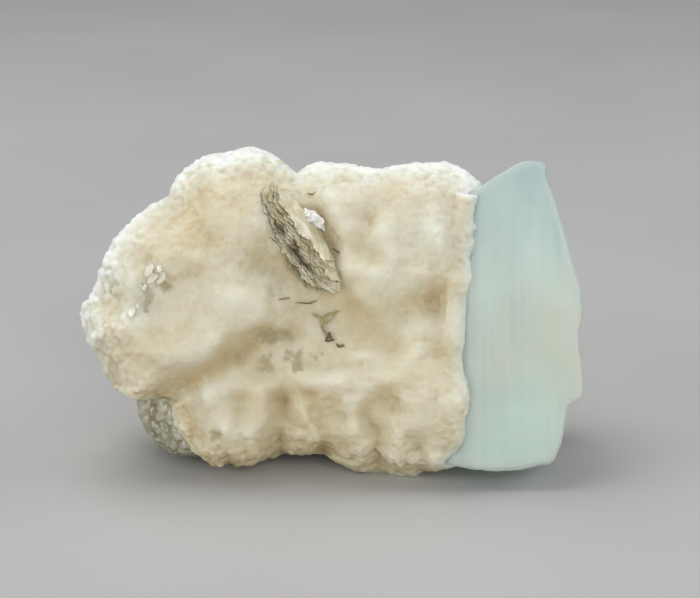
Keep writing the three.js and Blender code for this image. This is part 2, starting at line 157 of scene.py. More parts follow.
# Creases and rises of the front, each a run of (u, v) points, a half width and a depth into the rock.
CREASES = [
    ([(-19.2, -9.3), (-16.7, -7.9), (-13.2, -6.6), (-10.3, -4.9), (-7.9, -3.1), (-5.0, -2.3)], 0.9, 0.85),
    ([(-5.4, -9.0), (-5.6, -10.6), (-6.2, -12.6), (-6.4, -16.5)], 0.85, 1.35),
    ([(3.6, -10.6), (4.6, -13.0), (4.2, -17.5)], 0.85, 1.15), ([(-2.3, -8.8), (-1.6, -11.2), (-0.9, -14.4)], 0.75, 0.95),
    ([(-2.4, -5.6), (2.6, -5.7), (6.3, -6.2)], 0.45, 0.28),
    ([(-12.7, -12.8), (-12.1, -14.2)], 0.55, 0.7), ([(-11.8, -15.2), (-11.4, -16.0)], 0.5, 0.5),
    ([(10.6, 2.2), (11.0, -0.8)], 1.1, 0.3), ([(9.0, -14.2), (9.4, -17.0)], 0.6, 0.7),
    ([(-6.5, 2.6), (-6.4, -0.2)], 0.4, 0.28), ([(-12.0, 2.9), (-7.0, 2.8)], 0.5, 0.18),
    ([(4.7, 9.8), (6.4, 10.6), (8.3, 9.4)], 1.2, 0.4), ([(2.2, 7.4), (2.6, 3.9)], 0.8, 0.3),
    ([(-18.0, 2.9), (-17.1, 2.7)], 0.45, 0.35), ([(-9.4, -9.4), (-10.0, -11.6)], 0.7, 0.4),
    ([(7.2, -10.2), (8.1, -12.8)], 0.8, 0.35), ([(-16.2, -10.5), (-14.6, -13.2)], 0.5, 0.4)]
RISES = [
    ([(-20.6, -7.0), (-16.9, -5.4), (-13.4, -3.7), (-9.4, -1.5), (-7.8, 0.4)], 1.4, 0.65),
    ([(-13.0, -8.4), (-10.4, -7.6), (-8.2, -7.6)], 1.1, 0.6), ([(-2.2, -7.3), (0.4, -7.5)], 1.0, 0.5),
    ([(5.6, -6.8), (9.4, -6.2), (12.6, -6.2)], 1.2, 0.4), ([(5.2, 7.9), (6.3, 4.3)], 0.8, 0.4), ([(-0.2, 11.2), (1.1, 8.2), (2.0, 5.2)], 1.2, 0.8), ([(12.6, 3.0), (12.9, -2.4)], 1.0, 0.7),
    ([(8.4, 4.6), (10.9, 3.2)], 0.6, 0.22), ([(-3.6, -9.8), (-3.0, -12.4)], 0.9, 0.4), ([(-13.2, -10.2), (-12.4, -12.0)], 0.9, 0.4),
    ([(10.9, 7.6), (11.2, 4.6)], 0.7, 0.3), ([(-8.8, -13.1), (-8.4, -14.6)], 0.9, 0.4)]
STRIP = (-24.7, -2.3, 6.3)            # a point of the flat strip down the lower left edge

_po = np.array(OUTLINE) - np.array(HUB)
_pa, _pr = np.arctan2(_po[:, 1], _po[:, 0]), np.hypot(_po[:, 0], _po[:, 1])
_order = np.argsort(_pa)
_pa = np.concatenate([_pa[_order] - 2 * np.pi, _pa[_order], _pa[_order] + 2 * np.pi])
_pr = np.tile(_pr[_order], 3)


def reach(angle):
    return np.interp(angle, _pa, _pr)


def lobe_distance(P, lobe):
    u, v, w, ru, rv, rw, turn = lobe
    c, s = math.cos(math.radians(turn)), math.sin(math.radians(turn))
    x, y, z = P[..., 0] - u, P[..., 1] - v, P[..., 2] - w
    X, Y, Z = (c * x + s * y) / ru, (-s * x + c * y) / rv, z / rw
    q = np.sqrt(X * X + Y * Y + Z * Z) + 1e-9
    return q * (q - 1) / (np.sqrt((X / ru) ** 2 + (Y / rv) ** 2 + (Z / rw) ** 2) + 1e-9)


def wavy(P):
    out = P.copy()
    for k in range(3):
        out[..., k] += 1.3 * noise(P / 7.5, 11 + k) + 0.6 * noise(P / 3.4, 21 + k)
    return out


def blend(distances, k):
    m = np.minimum.reduce(distances)
    return m - k * np.log(sum(np.exp(-(d - m) / k) for d in distances))


def rock_distance(P, fine=True):
    Q = wavy(P)
    x, y, z = P[..., 0] - HUB[0], P[..., 1] - HUB[1], P[..., 2]
    r = np.hypot(x, y)
    R = reach(np.arctan2(y, x))
    rho = ((r / R) ** ROCK_FULLNESS + np.abs(z / np.where(z > 0, ROCK_FRONT, ROCK_BACK)) ** ROCK_FULLNESS) ** (1 / ROCK_FULLNESS) + 1e-9
    body = np.sqrt(r * r + z * z) * (1 - 1 / rho)
    d = blend([body] + [lobe_distance(Q, l) for l in LOBES + BACK_LOBES], ROCK_BLEND)
    for h in HOLLOWS:
        d = -blend([-d, lobe_distance(Q, h)], 0.5)
    # the rock comes up against the crystal's left side, flush with its broad face
    beryl = beryl_distance(P, False)
    across = 19 + math.cos(BERYL_TURN) * (P[..., 0] - 19) + math.sin(BERYL_TURN) * P[..., 1]
    collar = np.maximum(np.maximum(beryl - 1.3, P[..., 2] - (BERYL_FRONT + 0.14 + 0.12 * noise(P / 2.1, 57))), across - (13.75 + 0.4 * noise(P / 2.0, 58)))
    collar = np.maximum(collar, np.maximum(-12.6 - P[..., 1], P[..., 1] - 12.4))
    d = blend([d, collar], 0.5)
    d = np.maximum(d, r - R - 0.15)
    # the flat strip faces left, down and out
    sx, sy, sz = -0.819 * 0.66, -0.574 * 0.66, 0.751
    strip = (P[..., 0] - STRIP[0]) * sx + (P[..., 1] - STRIP[1]) * sy + (P[..., 2] - STRIP[2]) * sz
    strip = strip - 0.6 * np.clip(P[..., 1] + 4.4, 0, 20) - 3.0 * np.clip((-7.6 - P[..., 1]) / 2.2, 0, 1)
    front = np.clip((P[..., 2] + 1.0) / 3.0, 0, 1)
    d = d + front * front_shape(Q, P)
    d = -blend([-d, -strip], 0.35)
    d = blend([d] + [lobe_distance(Q, l) for l in LEDGE], 0.4)
    if fine:
        d = d + rock_relief(P)
    return np.maximum(d, SEAT_GAP - beryl)


def run_weight(u, v, run, width):
    best = np.full(u.shape, 1e9)
    for (ax, ay), (bx, by) in zip(run[:-1], run[1:]):
        ex, ey = bx - ax, by - ay
        t = np.clip(((u - ax) * ex + (v - ay) * ey) / (ex * ex + ey * ey), 0, 1)
        best = np.minimum(best, (u - ax - t * ex) ** 2 + (v - ay - t * ey) ** 2)
    return np.exp(-best / (2 * width * width))


def front_shape(Q, P):
    """Creases (positive, into the rock) and rises of the front."""
    u = 0.55 * Q[..., 0] + 0.45 * P[..., 0]
    v = 0.55 * Q[..., 1] + 0.45 * P[..., 1]
    total = np.zeros(u.shape)
    for run, width, depth in CREASES:
        total += depth * run_weight(u, v, run, width)
    for run, width, depth in RISES:
        total -= depth * run_weight(u, v, run, width)
    return total


def rock_relief(P):
    """Knobbly sugary relief in mm, positive into the rock: strongest round the rim, calmer on the front."""
    rim = np.clip((np.hypot(P[..., 0] - HUB[0], P[..., 1] - HUB[1]) / reach(np.arctan2(P[..., 1] - HUB[1], P[..., 0] - HUB[0])) - 0.62) / 0.3, 0, 1)
    edge = np.clip((rim - 0.55) / 0.45, 0, 1)
    edge = edge * np.maximum(np.clip((11.8 - P[..., 0]) / 3, 0, 1), np.clip((P[..., 1] - 12.2) / 1.5, 0, 1))
    rim, edge = (np.maximum(k, np.clip((1.5 - P[..., 2]) / 3.0, 0, 1)) for k in (rim, edge))
    f1, f2 = cells(P / 2.9 + 0.35 * noise(P / 2.2, 41)[..., None], 43)
    knobs = (0.10 + 0.05 * rim + 0.12 * edge) * (f1 ** 2 - 0.35)
    g1, g2 = cells(P / 0.95 + 0.3 * noise(P / 1.1, 45)[..., None], 47)
    grains = (0.07 + 0.05 * rim + 0.34 * edge) * (g1 ** 2 - 0.3)
    return knobs + grains + (0.07 + 0.08 * rim) * noise(P / 0.62, 49) + (0.08 + 0.08 * rim) * noise(P / 1.9, 53) + 0.24 * (0.28 - np.abs(noise(P / 2.7, 54))) + 0.16 * noise(P / 4.4, 55)


ROCK_TREE = []


def rock_top(u, v):
    """Height w of the finished rock's front at face points, from its own mesh."""
    ahead = Vector((0.0, CL, -SL))
    out = []
    for a, b in zip(np.asarray(u, float), np.asarray(v, float)):
        start = Vector(world((a, b, 14.0)))
        hit = ROCK_TREE[0].ray_cast(start, ahead)
        out.append(14.0 - hit[3] * 1000 if hit[0] is not None else 0.0)
    return np.array(out)


# ------------------------------------------------------------------ meshing
def surface_net(distance, low, high, step, coarse=4):
    """Closed surface where distance is zero, as points and quads. Exact values are only worked out near it."""
    low, high = np.array(low, float), np.array(high, float)
    n = (np.ceil((high - low) / (step * coarse)).astype(int)) * coarse + 1
    axes = [low[k] + step * np.arange(n[k]) for k in range(3)]
    ca = [a[::coarse] for a in axes]
    G = np.stack(np.meshgrid(*ca, indexing="ij"), -1)
    cd = distance(G, False).astype(np.float32)
    # widen to the fine grid by repeating and mark what is near the surface
    near = np.abs(cd) < step * coarse * 1.9 + 0.9
    F = cd
    for k in range(3):
        lo_i = np.minimum(np.arange(n[k]) // coarse, cd.shape[k] - 2)
        t = (np.arange(n[k]) - lo_i * coarse) / coarse
        shape = [1, 1, 1]
        shape[k] = -1
        t = t.reshape(shape).astype(np.float32)
        F = np.take(F, lo_i, axis=k) * (1 - t) + np.take(F, lo_i + 1, axis=k) * t
    N = near
    for k in range(3):
        lo_i = np.minimum(np.arange(n[k]) // coarse, cd.shape[k] - 2)
        N = np.take(N, lo_i, axis=k) | np.take(N, lo_i + 1, axis=k)
    idx = np.nonzero(N)
    P = np.stack([axes[k][idx[k]] for k in range(3)], -1)
    out = np.empty(len(P), np.float32)
    for s in range(0, len(P), 400000):
        out[s:s + 400000] = distance(P[s:s + 400000], True)
    F[idx] = out
    F[F == 0] = 1e-6
    return net_from_grid(F, low, step)


def net_from_grid(F, low, step):
    n = F.shape
    inside = F < 0
    acc = np.zeros((n[0] - 1, n[1] - 1, n[2] - 1, 3), np.float32)
    cnt = np.zeros(acc.shape[:3], np.uint8)
    for axis in range(3):
        a = [slice(None)] * 3
        b = [slice(None)] * 3
        a[axis], b[axis] = slice(0, -1), slice(1, None)
        fa, fb = F[tuple(a)], F[tuple(b)]
        cross = inside[tuple(a)] != inside[tuple(b)]
        t = np.where(cross, fa / np.where(cross, fa - fb, 1), 0).astype(np.float32)
        o1, o2 = [k for k in range(3) if k != axis]
        for i in (0, 1):
            for j in (0, 1):
                s = [slice(None)] * 3
                s[o1] = slice(i, i + n[o1] - 1)
                s[o2] = slice(j, j + n[o2] - 1)
                c = cross[tuple(s)]
                acc[..., axis] += np.where(c, t[tuple(s)], 0)
                acc[..., o1] += np.where(c, i, 0)
                acc[..., o2] += np.where(c, j, 0)
                cnt += c
    active = cnt > 0
    number = np.full(active.shape, -1, np.int64)
    number[active] = np.arange(active.sum())
    where = np.argwhere(active)
    points = low + step * (where + acc[active] / cnt[active][:, None])
    quads = []
    for axis in range(3):
        o1, o2 = [(1, 2), (2, 0), (0, 1)][axis]
        a = [slice(None)] * 3
        b = [slice(None)] * 3
        a[axis], b[axis] = slice(0, -1), slice(1, None)
        cross = inside[tuple(a)] != inside[tuple(b)]
        e = np.argwhere(cross)
        e = e[(e[:, o1] > 0) & (e[:, o2] > 0) & (e[:, o1] < n[o1] - 1) & (e[:, o2] < n[o2] - 1)]
        starts_inside = inside[e[:, 0], e[:, 1], e[:, 2]]
        q = []
        for d1, d2 in ((-1, -1), (0, -1), (0, 0), (-1, 0)):
            c = e.copy()
            c[:, o1] += d1
            c[:, o2] += d2
            q.append(number[c[:, 0], c[:, 1], c[:, 2]])
        q = np.stack(q, -1)
        q[~starts_inside] = q[~starts_inside][:, ::-1]
        quads.append(q)
    return points, np.concatenate(quads)


def settle(points, distance, step, rounds=2):
    """Move the net's points onto the true surface."""
    p = points.copy()
    e = 0.35 * step
    for _ in range(rounds):
        d0 = distance(p, True)
        g = np.stack([(distance(p + np.eye(3)[k] * e, True) - d0) / e for k in range(3)], -1)
        move = -g * (d0 / np.maximum((g ** 2).sum(-1), 0.25))[:, None]
        length = np.linalg.norm(move, axis=-1, keepdims=True)
        p += move * np.minimum(1, 0.5 * step / np.maximum(length, 1e-9))
    return p


def mesh_object(name, points_m, faces, smooth=True):
    me = bpy.data.meshes.new(name)
    faces = np.asarray(faces)
    me.vertices.add(len(points_m))
    me.vertices.foreach_set("co", np.asarray(points_m, np.float32).ravel())
    k = faces.shape[1]
    me.loops.add(faces.size)
    me.loops.foreach_set("vertex_index", faces.astype(np.int32).ravel())
    me.polygons.add(len(faces))
    me.polygons.foreach_set("loop_start", np.arange(0, faces.size, k, dtype=np.int32))
    me.polygons.foreach_set("loop_total", np.full(len(faces), k, np.int32))
    me.update(calc_edges=True)
    me.validate()
    me.polygons.foreach_set("use_smooth", np.full(len(me.polygons), smooth))
    ob = bpy.data.objects.new(name, me)
    bpy.context.scene.collection.objects.link(ob)
    return ob


def decimate_to(ob, limit):
    tris = sum(len(p.vertices) - 2 for p in ob.data.polygons)
    if tris <= limit:
        return
    m = ob.modifiers.new("fewer", "DECIMATE")
    m.ratio = limit / tris
    apply_modifiers(ob)
    ob.data.polygons.foreach_set("use_smooth", np.ones(len(ob.data.polygons), bool))


def apply_modifiers(ob):
    deps = bpy.context.evaluated_depsgraph_get()
    me = bpy.data.meshes.new_from_object(ob.evaluated_get(deps))
    old = ob.data
    ob.modifiers.clear()
    ob.data = me
    bpy.data.meshes.remove(old)


# ------------------------------------------------------------------ the crystal's shape
BERYL_FRONT, BERYL_BACK = 5.4, -6.6
BERYL_OUTLINE = np.array([
    [11.9, -16.4], [13.0, -16.6], [15.8, -17.05], [18.9, -17.05], [19.7, -16.95], [21.6, -16.65], [23.3, -16.3], [23.8, -15.9],
    [24.2, -15.1], [24.62, -13.5], [25.06, -11.12], [25.2, -10.4], [25.75, -9.95], [26.3, -9.6], [26.8, -9.15], [26.95, -8.3], [27.0, -7.2],
    [26.9, -6.4], [26.8, -5.1], [26.58, -4.2], [26.5, -2.9], [26.6, -1.8], [26.8, -0.8], [26.9, 0.3], [26.86, 0.95], [26.62, 1.1], [26.68, 2.6], [26.35, 3.46],
    [25.92, 4.97], [24.84, 8.64], [24.19, 11.0], [23.54, 12.96], [22.86, 14.9],
    [22.95, 15.95], [22.3, 16.4], [21.2, 16.56], [20.25, 16.42], [19.4, 16.1], [17.25, 14.72], [15.6, 13.65], [9.8, 11.4], [8.6, -1.8], [9.8, -14.2]])
BERYL_TURN = math.radians(-6.5)
BERYL_SECTION = np.array([[13.5, BERYL_FRONT], [28.8, BERYL_FRONT], [30.2, 0.6], [27.0, BERYL_BACK], [13.6, BERYL_BACK], [9.9, -0.6]])
BERYL_LIFT, BERYL_FOOT = 0.5, math.radians(5.0)
SEAT_GAP = -0.02
EYE = 231.0                           # how far off the broad face is seen as the outline gives it


def polygon_distance(x, y, poly):
    """Signed distance to a closed polygon, negative inside."""
    best = np.full(x.shape, 1e9)
    inside = np.zeros(x.shape, bool)
    for i in range(len(poly)):
        ax, ay = poly[i]
        bx, by = poly[(i + 1) % len(poly)]
        ex, ey = bx - ax, by - ay
        t = np.clip(((x - ax) * ex + (y - ay) * ey) / (ex * ex + ey * ey), 0, 1)
        best = np.minimum(best, (x - ax - t * ex) ** 2 + (y - ay - t * ey) ** 2)
        cross = (ay > y) != (by > y)
        with np.errstate(divide="ignore", invalid="ignore"):
            inside ^= cross & (x < ax + (y - ay) / (by - ay if by != ay else 1e-9) * ex)
    d = np.sqrt(best)
    return np.where(inside, -d, d)


def beryl_distance(P, fine=True):
    u, v, w = P[..., 0], P[..., 1], P[..., 2]
    f = 1 - 0.012 * (BERYL_FRONT - w)
    k = EYE / (EYE - w)
    pu, pv = 1.62 + (u - 1.62) * k, 1.51 + (v - 1.51) * k
    trim = polygon_distance(17.5 + (pu - 17.5) / f, 0.5 + (pv - 0.5) / f, BERYL_OUTLINE)
    c, s = math.cos(-BERYL_TURN), math.sin(-BERYL_TURN)
    x = 19 + c * (u - 19) - s * v
    section = polygon_distance(x, w, BERYL_SECTION)
    z = v * CL + w * SL
    y = v * SL - w * CL
    foot = (FLOOR + BERYL_LIFT) - (z * math.cos(BERYL_FOOT) - (y - 0) * math.sin(BERYL_FOOT))
    if fine:
        rough = 0.16 * noise(P / 4.2, 61) + 0.10 * noise(P / 1.6, 62) + 0.05 * noise(P / 0.7, 63)
        low = np.clip((-11.5 - v) / 4.0, 0, 1)
        trim = trim + rough * (0.45 + 0.9 * low)
        foot = foot + rough
        broad = 0.10 * noise(np.stack([u / 3.2, v / 11.0, w / 3.2], -1), 66)
        section = section + 0.035 * noise(np.stack([u / 0.9, v / 14, w / 0.9], -1), 64) + 0.05 * noise(P / 5, 65) + broad
    return -blend([-trim, -section, -foot], 0.13)


# ------------------------------------------------------------------ material helpers
class Nodes:
    """A small wrapper that makes node trees readable."""

    def __init__(self, name):
        self.mat = bpy.data.materials.new(name)
        self.mat.use_nodes = True
        self.tree = self.mat.node_tree
        self.tree.nodes.clear()
        self.out = self.tree.nodes.new("ShaderNodeOutputMaterial")
        self.bsdf = self.tree.nodes.new("ShaderNodeBsdfPrincipled")
        self.tree.links.new(self.bsdf.outputs[0], self.out.inputs["Surface"])
        self.coord = self.tree.nodes.new("ShaderNodeTexCoord").outputs["Object"]

    def link(self, a, b):
        self.tree.links.new(a, b)

    def put(self, node, key, value):
        if isinstance(value, bpy.types.NodeSocket):
            self.link(value, node.inputs[key])
        elif value is not None:
            node.inputs[key].default_value = value

    def mapping(self, scale=(1, 1, 1), rotation=(0, 0, 0), location=(0, 0, 0), vector=None):
        n = self.tree.nodes.new("ShaderNodeMapping")
        n.inputs["Scale"].default_value = scale
        n.inputs["Rotation"].default_value = rotation
        n.inputs["Location"].default_value = location
        self.link(vector or self.coord, n.inputs["Vector"])
        return n.outputs[0]

    def noise(self, mm, detail=3.0, rough=0.55, vector=None, distortion=0.0, kind="FBM"):
        """Noise whose features are about mm millimetres across."""
        n = self.tree.nodes.new("ShaderNodeTexNoise")
        n.inputs["Scale"].default_value = 1000.0 / mm
        n.inputs["Detail"].default_value = detail
        n.inputs["Roughness"].default_value = rough
        n.inputs["Distortion"].default_value = distortion
        self.link(vector or self.coord, n.inputs["Vector"])
        return n.outputs["Fac"]

    def cells(self, mm, feature="F1", vector=None, metric="EUCLIDEAN", smooth=None):
        n = self.tree.nodes.new("ShaderNodeTexVoronoi")
        n.feature = feature
        n.distance = metric
        n.inputs["Scale"].default_value = 1000.0 / mm
        if smooth is not None and "Smoothness" in n.inputs:
            n.inputs["Smoothness"].default_value = smooth
        self.link(vector or self.coord, n.inputs["Vector"])
        return n

    def ramp(self, fac, stops, interpolation="LINEAR"):
        n = self.tree.nodes.new("ShaderNodeValToRGB")
        n.color_ramp.interpolation = interpolation
        e = n.color_ramp.elements
        while len(e) > 1:
            e.remove(e[-1])
        for i, (pos, col) in enumerate(stops):
            if i == 0:
                e[0].position = pos
                el = e[0]
            else:
                el = e.new(pos)
            if not hasattr(col, "__len__"):
                col = (col, col, col)
            el.color = (*col[:3], 1.0)
        self.link(fac, n.inputs[0])
        return n.outputs[0]

    def mix(self, fac, a, b, mode="MIX"):
        n = self.tree.nodes.new("ShaderNodeMix")
        n.data_type = "RGBA"
        n.blend_type = mode
        n.clamp_factor = True
        for key, value in ((0, fac), (6, a), (7, b)):
            if isinstance(value, bpy.types.NodeSocket):
                self.link(value, n.inputs[key])
            elif key == 0:
                n.inputs[0].default_value = value
            else:
                n.inputs[key].default_value = (*value[:3], 1.0)
        return n.outputs[2]

    def math(self, op, a, b=None, c=None, clamp=False):
        n = self.tree.nodes.new("ShaderNodeMath")
        n.operation = op
        n.use_clamp = clamp
        for i, value in enumerate((a, b, c)):
            if isinstance(value, bpy.types.NodeSocket):
                self.link(value, n.inputs[i])
            elif value is not None:
                n.inputs[i].default_value = value
        return n.outputs[0]

    def attribute(self, name):
        n = self.tree.nodes.new("ShaderNodeAttribute")
        n.attribute_name = name
        return n

    def bump(self, height, mm, strength=1.0, normal=None):
        n = self.tree.nodes.new("ShaderNodeBump")
        n.inputs["Strength"].default_value = strength
        n.inputs["Distance"].default_value = mm * 0.001
        self.link(height, n.inputs["Height"])
        if normal is not None:
            self.link(normal, n.inputs["Normal"])
        return n.outputs[0]

    def set(self, **values):
        for key, value in values.items():
            self.put(self.bsdf, key.replace("_", " "), value)
        return self.mat


def srgb(r, g, b):
    def f(c):
        c /= 255.0
        return c / 12.92 if c <= 0.04045 else ((c + 0.055) / 1.055) ** 2.4
    return (f(r), f(g), f(b))


def rgba(c):
    return (*c, 1.0)


# ------------------------------------------------------------------ camera, floor and light
scene = bpy.context.scene
AIM = Vector(world((1.62, 1.51, 0.0)))
FRAME_WIDTH = 0.0756              # width of the view at the specimen, metres
cam_data = bpy.data.cameras.new("camera")
cam_data.lens = 110.0
cam_data.sensor_width = 36.0
cam_data.clip_start = 0.01
cam_data.clip_end = 20.0
distance = FRAME_WIDTH / 2 / math.tan(math.atan(18.0 / cam_data.lens))
camera = bpy.data.objects.new("camera", cam_data)
scene.collection.objects.link(camera)
camera.location = AIM + Vector((0, -CL, SL)) * distance
camera.rotation_euler = (math.pi / 2 - LEAN, 0, 0)
scene.camera = camera


def soft_light(name, place, target, size, watts, tint=(1, 1, 1)):
    d = bpy.data.lights.new(name, "AREA")
    d.shape = "RECTANGLE"
    d.size, d.size_y = size
    d.energy = watts
    d.color = tint
    o = bpy.data.objects.new(name, d)
    scene.collection.objects.link(o)
    o.location = place
    o.rotation_euler = (Vector(target) - Vector(place)).to_track_quat("-Z", "Y").to_euler()
    return o


soft_light("key", (-0.12, 0.10, 0.42), (0, 0, 0.015), (0.34, 0.30), 1.02, (1.0, 0.997, 0.985))
soft_light("front", (0.14, -0.46, 0.22), (0, 0, 0.012), (0.34, 0.34), 1.12, (1.0, 0.997, 0.988))
soft_light("left", (-0.40, -0.22, 0.14), (0, 0, 0.015), (0.26, 0.26), 0.62, (0.98, 0.99, 1.0))
soft_light("right", (0.36, 0.02, 0.27), (0, 0, 0.015), (0.22, 0.22), 0.4, (1.0, 0.99, 0.98))

world_data = bpy.data.worlds.new("studio")
scene.world = world_data
world_data.use_nodes = True
world_data.node_tree.nodes["Background"].inputs["Color"].default_value = (0.92, 0.94, 1.0, 1.0)
world_data.node_tree.nodes["Background"].inputs["Strength"].default_value = 0.25

scene.view_settings.view_transform = "Standard"
scene.view_settings.look = "None"
scene.view_settings.exposure = 0.0

floor_n = Nodes("floor_pale")
tone = floor_n.ramp(floor_n.noise(60, 2.0), [(0.35, (0.47, 0.47, 0.465)), (0.65, (0.50, 0.50, 0.495))])
floor_n.set(Base_Color=tone, Roughness=0.85)
R = 1.6
floor = mesh_object("floor", [(-R, -R, 0), (R, -R, 0), (R, R, 0), (-R, R, 0)], [[0, 1, 2, 3]], smooth=False)
floor.data.materials.append(floor_n.mat)

# ------------------------------------------------------------------ matrix
def relief_of(ob, rounds):
    """How far each point stands above the surface smoothed over some rounds, in mm."""
    me, n = ob.data, len(ob.data.vertices)
    co = np.empty(n * 3, np.float32)
    me.vertices.foreach_get("co", co)
    co = co.reshape(-1, 3).astype(float)
    no = np.empty(n * 3, np.float32)
    me.vertices.foreach_get("normal", no)
    no = no.reshape(-1, 3)
    e = np.empty(len(me.edges) * 2, np.int32)
    me.edges.foreach_get("vertices", e)
    e = e.reshape(-1, 2)
    deg = np.maximum(np.bincount(e.ravel(), minlength=n), 1)[:, None]
    p, out = co.copy(), []
    for r in range(max(rounds)):
        s = np.stack([np.bincount(e[:, 0], p[e[:, 1], k], n) + np.bincount(e[:, 1], p[e[:, 0], k], n) for k in range(3)], -1)
        p = 0.3 * p + 0.7 * s / deg
        if r + 1 in rounds:
            out.append(((co - p) * no).sum(-1) * 1000)
    return out


def face_points(ob):
    """The points of a mesh in face coordinates, mm."""
    n = len(ob.data.vertices)
    co = np.empty(n * 3, np.float32)
    ob.data.vertices.foreach_get("co", co)
    q = co.reshape(-1, 3).astype(float) * 1000
    x, y, z = q[:, 0] - SHIFT[0], q[:, 1] - SHIFT[1], q[:, 2] + FLOOR
    return np.stack([x, y * SL + z * CL, -y * CL + z * SL], -1)


def put_attribute(ob, name, values):
    at = ob.data.attributes.new(name, "FLOAT", "POINT")
    at.data.foreach_set("value", np.asarray(values, np.float32))


step = 0.24
pts, quads = surface_net(rock_distance, (-29.5, -19.5, -15.0), (29.8, 20.0, 12.0), step)
pts = settle(pts, rock_distance, step, 1)
w_pts = world(pts)
w_pts[:, 2] = np.maximum(w_pts[:, 2], 0.0)
matrix = mesh_object("albite_matrix", w_pts, quads)
print("matrix quads", len(quads))
decimate_to(matrix, 196000)
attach(matrix, "root")
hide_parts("matrix")
ROCK_TREE.append(BVHTree.FromObject(matrix, bpy.context.evaluated_depsgraph_get()))

# grey-brown quartz grains in the sugary feldspar: centre (u, v), half widths, strength
GRAINS = [(-6.8, -2.4, 1.15, 0.85, 0.85), (-5.3, -2.3, 0.9, 0.6, 0.6), (-7.2, -5.3, 0.85, 0.8, 0.9), (-4.3, -4.4, 0.95, 0.55, 0.9),
          (-3.9, -5.6, 0.55, 0.7, 0.8), (-1.8, -4.4, 0.6, 0.35, 0.8), (-17.8, 2.75, 0.75, 0.4, 0.8), (-9.8, -4.9, 0.8, 0.6, 0.35),
          (0.1, 8.2, 0.35, 0.4, 0.6), (-0.3, 6.0, 0.4, 0.45, 0.5), (-12.6, -13.0, 0.6, 0.7, 0.7), (-20.5, -8.3, 0.5, 0.3, 0.8),
          (-24.6, -3.6, 0.8, 1.6, 0.45), (-23.4, -6.0, 0.9, 1.5, 0.5)]
fine_up, mid_up, broad_up = relief_of(matrix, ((5, 30, 170)))
fp = face_points(matrix)
gp = fp[:, :2] + np.stack([noise(fp / 0.8, 71), noise(fp / 0.8, 72)], -1) * 0.6 + np.stack([noise(fp / 0.35, 73), noise(fp / 0.35, 74)], -1) * 0.35
grain_at = np.zeros(len(fp))
for gu, gv, ru, rv, k in GRAINS:
    q = np.hypot((gp[:, 0] - gu) / ru, (gp[:, 1] - gv) / rv)
    grain_at = np.maximum(grain_at, k * np.clip((1.25 - q) / 0.5, 0, 1) * (fp[:, 2] > -2.0))
normals = np.empty(len(fp) * 3, np.float32)
matrix.data.vertices.foreach_get("normal", normals)
up = normals.reshape(-1, 3)[:, 2]
put_attribute(matrix, "fine_up", fine_up)
put_attribute(matrix, "mid_up", mid_up)
put_attribute(matrix, "broad_up", broad_up)
put_attribute(matrix, "grain", grain_at)
put_attribute(matrix, "up", up)
# painted highlight: white rim along the top and the left edge; painted shade: tan towards the foot of the front
du, dv = fp[:, 0] - HUB[0], fp[:, 1] - HUB[1]
outward = np.hypot(du, dv) / reach(np.arctan2(dv, du))
put_attribute(matrix, "rim", np.clip((outward - 0.84) / 0.16, 0, 1) * np.clip((fp[:, 1] + 6.5) / 6.0, 0, 1) * np.maximum(np.clip((12.5 - fp[:, 0]) / 3.0, 0, 1), np.clip((fp[:, 1] - 11.0) / 2.5, 0, 1)) * (0.35 + 0.65 * np.clip((fp[:, 2] + 3.0) / 4.0, 0, 1)))
# paler and tanner areas of the front: centre (u, v), half widths, strength
AREAS = [(-11.3, 12.0, 4.6, 2.8, -0.22), (-16.6, 8.4, 4.4, 4.0, -0.16), (10.6, 8.2, 4.2, 3.8, 0.26), (11.8, -0.6, 1.8, 2.6, 0.14),
         (-16.8, -5.0, 3.0, 1.6, 0.08), (-24.0, -5.0, 1.4, 2.4, 0.10), (3.0, 7.4, 1.8, 2.6, -0.10), (9.2, -13.8, 4.0, 3.0, 0.08), (-20.6, 1.6, 2.6, 3.0, 0.34)]
area = np.zeros(len(fp))
for au, av, ru, rv, k in AREAS:
    area += k * np.exp(-0.5 * (((fp[:, 0] - au) / ru) ** 2 + ((fp[:, 1] - av) / rv) ** 2) * 1.6) * (fp[:, 2] > 0)
put_attribute(matrix, "area", area)
# painted shade: tan towards the foot of the front, where less light falls
put_attribute(matrix, "foot", np.clip((-6.5 - fp[:, 1]) / 8.0, 0, 1) * np.clip((fp[:, 2] + 2.0) / 4.0, 0, 1))
print("relief", [np.percentile(v, (2, 25, 50, 75, 98)).round(3).tolist() for v in (fine_up, mid_up, broad_up)])

n = Nodes("albite_sugary")
big = n.noise(8.0, 3.0, 0.55)
mid = n.noise(2.4, 4.0, 0.6)
fine = n.noise(0.5, 3.0, 0.6)
broad = n.attribute("broad_up").outputs["Fac"]
midup = n.attribute("mid_up").outputs["Fac"]
fineup = n.attribute("fine_up").outputs["Fac"]
painted_top_light = n.attribute("up").outputs["Fac"]
# painted shade: tan in broad flats and hollows; painted highlight: white on the rims, tops and lips, and paler where
# the surface faces up
t = n.math("MULTIPLY_ADD", broad, 0.25, 0.36)
t = n.math("MULTIPLY_ADD", midup, 0.11, t)
t = n.math("MULTIPLY_ADD", painted_top_light, 0.17, t)
t = n.math("MULTIPLY_ADD", n.attribute("rim").outputs["Fac"], 0.46, t)
t = n.math("MULTIPLY_ADD", n.attribute("foot").outputs["Fac"], -0.11, t)
t = n.math("ADD", n.attribute("area").outputs["Fac"], t)
t = n.math("ADD", t, n.math("MULTIPLY_ADD", big, 0.75, -0.375))
t = n.math("ADD", t, n.math("MULTIPLY_ADD", mid, 0.20, -0.10), clamp=True)
col = n.ramp(t, [(0.03, srgb(198, 174, 130)), (0.24, srgb(212, 196, 158)), (0.42, srgb(219, 210, 181)), (0.58, srgb(223, 218, 194)), (0.80, srgb(228, 228, 212)), (1.0, srgb(245, 246, 239))])
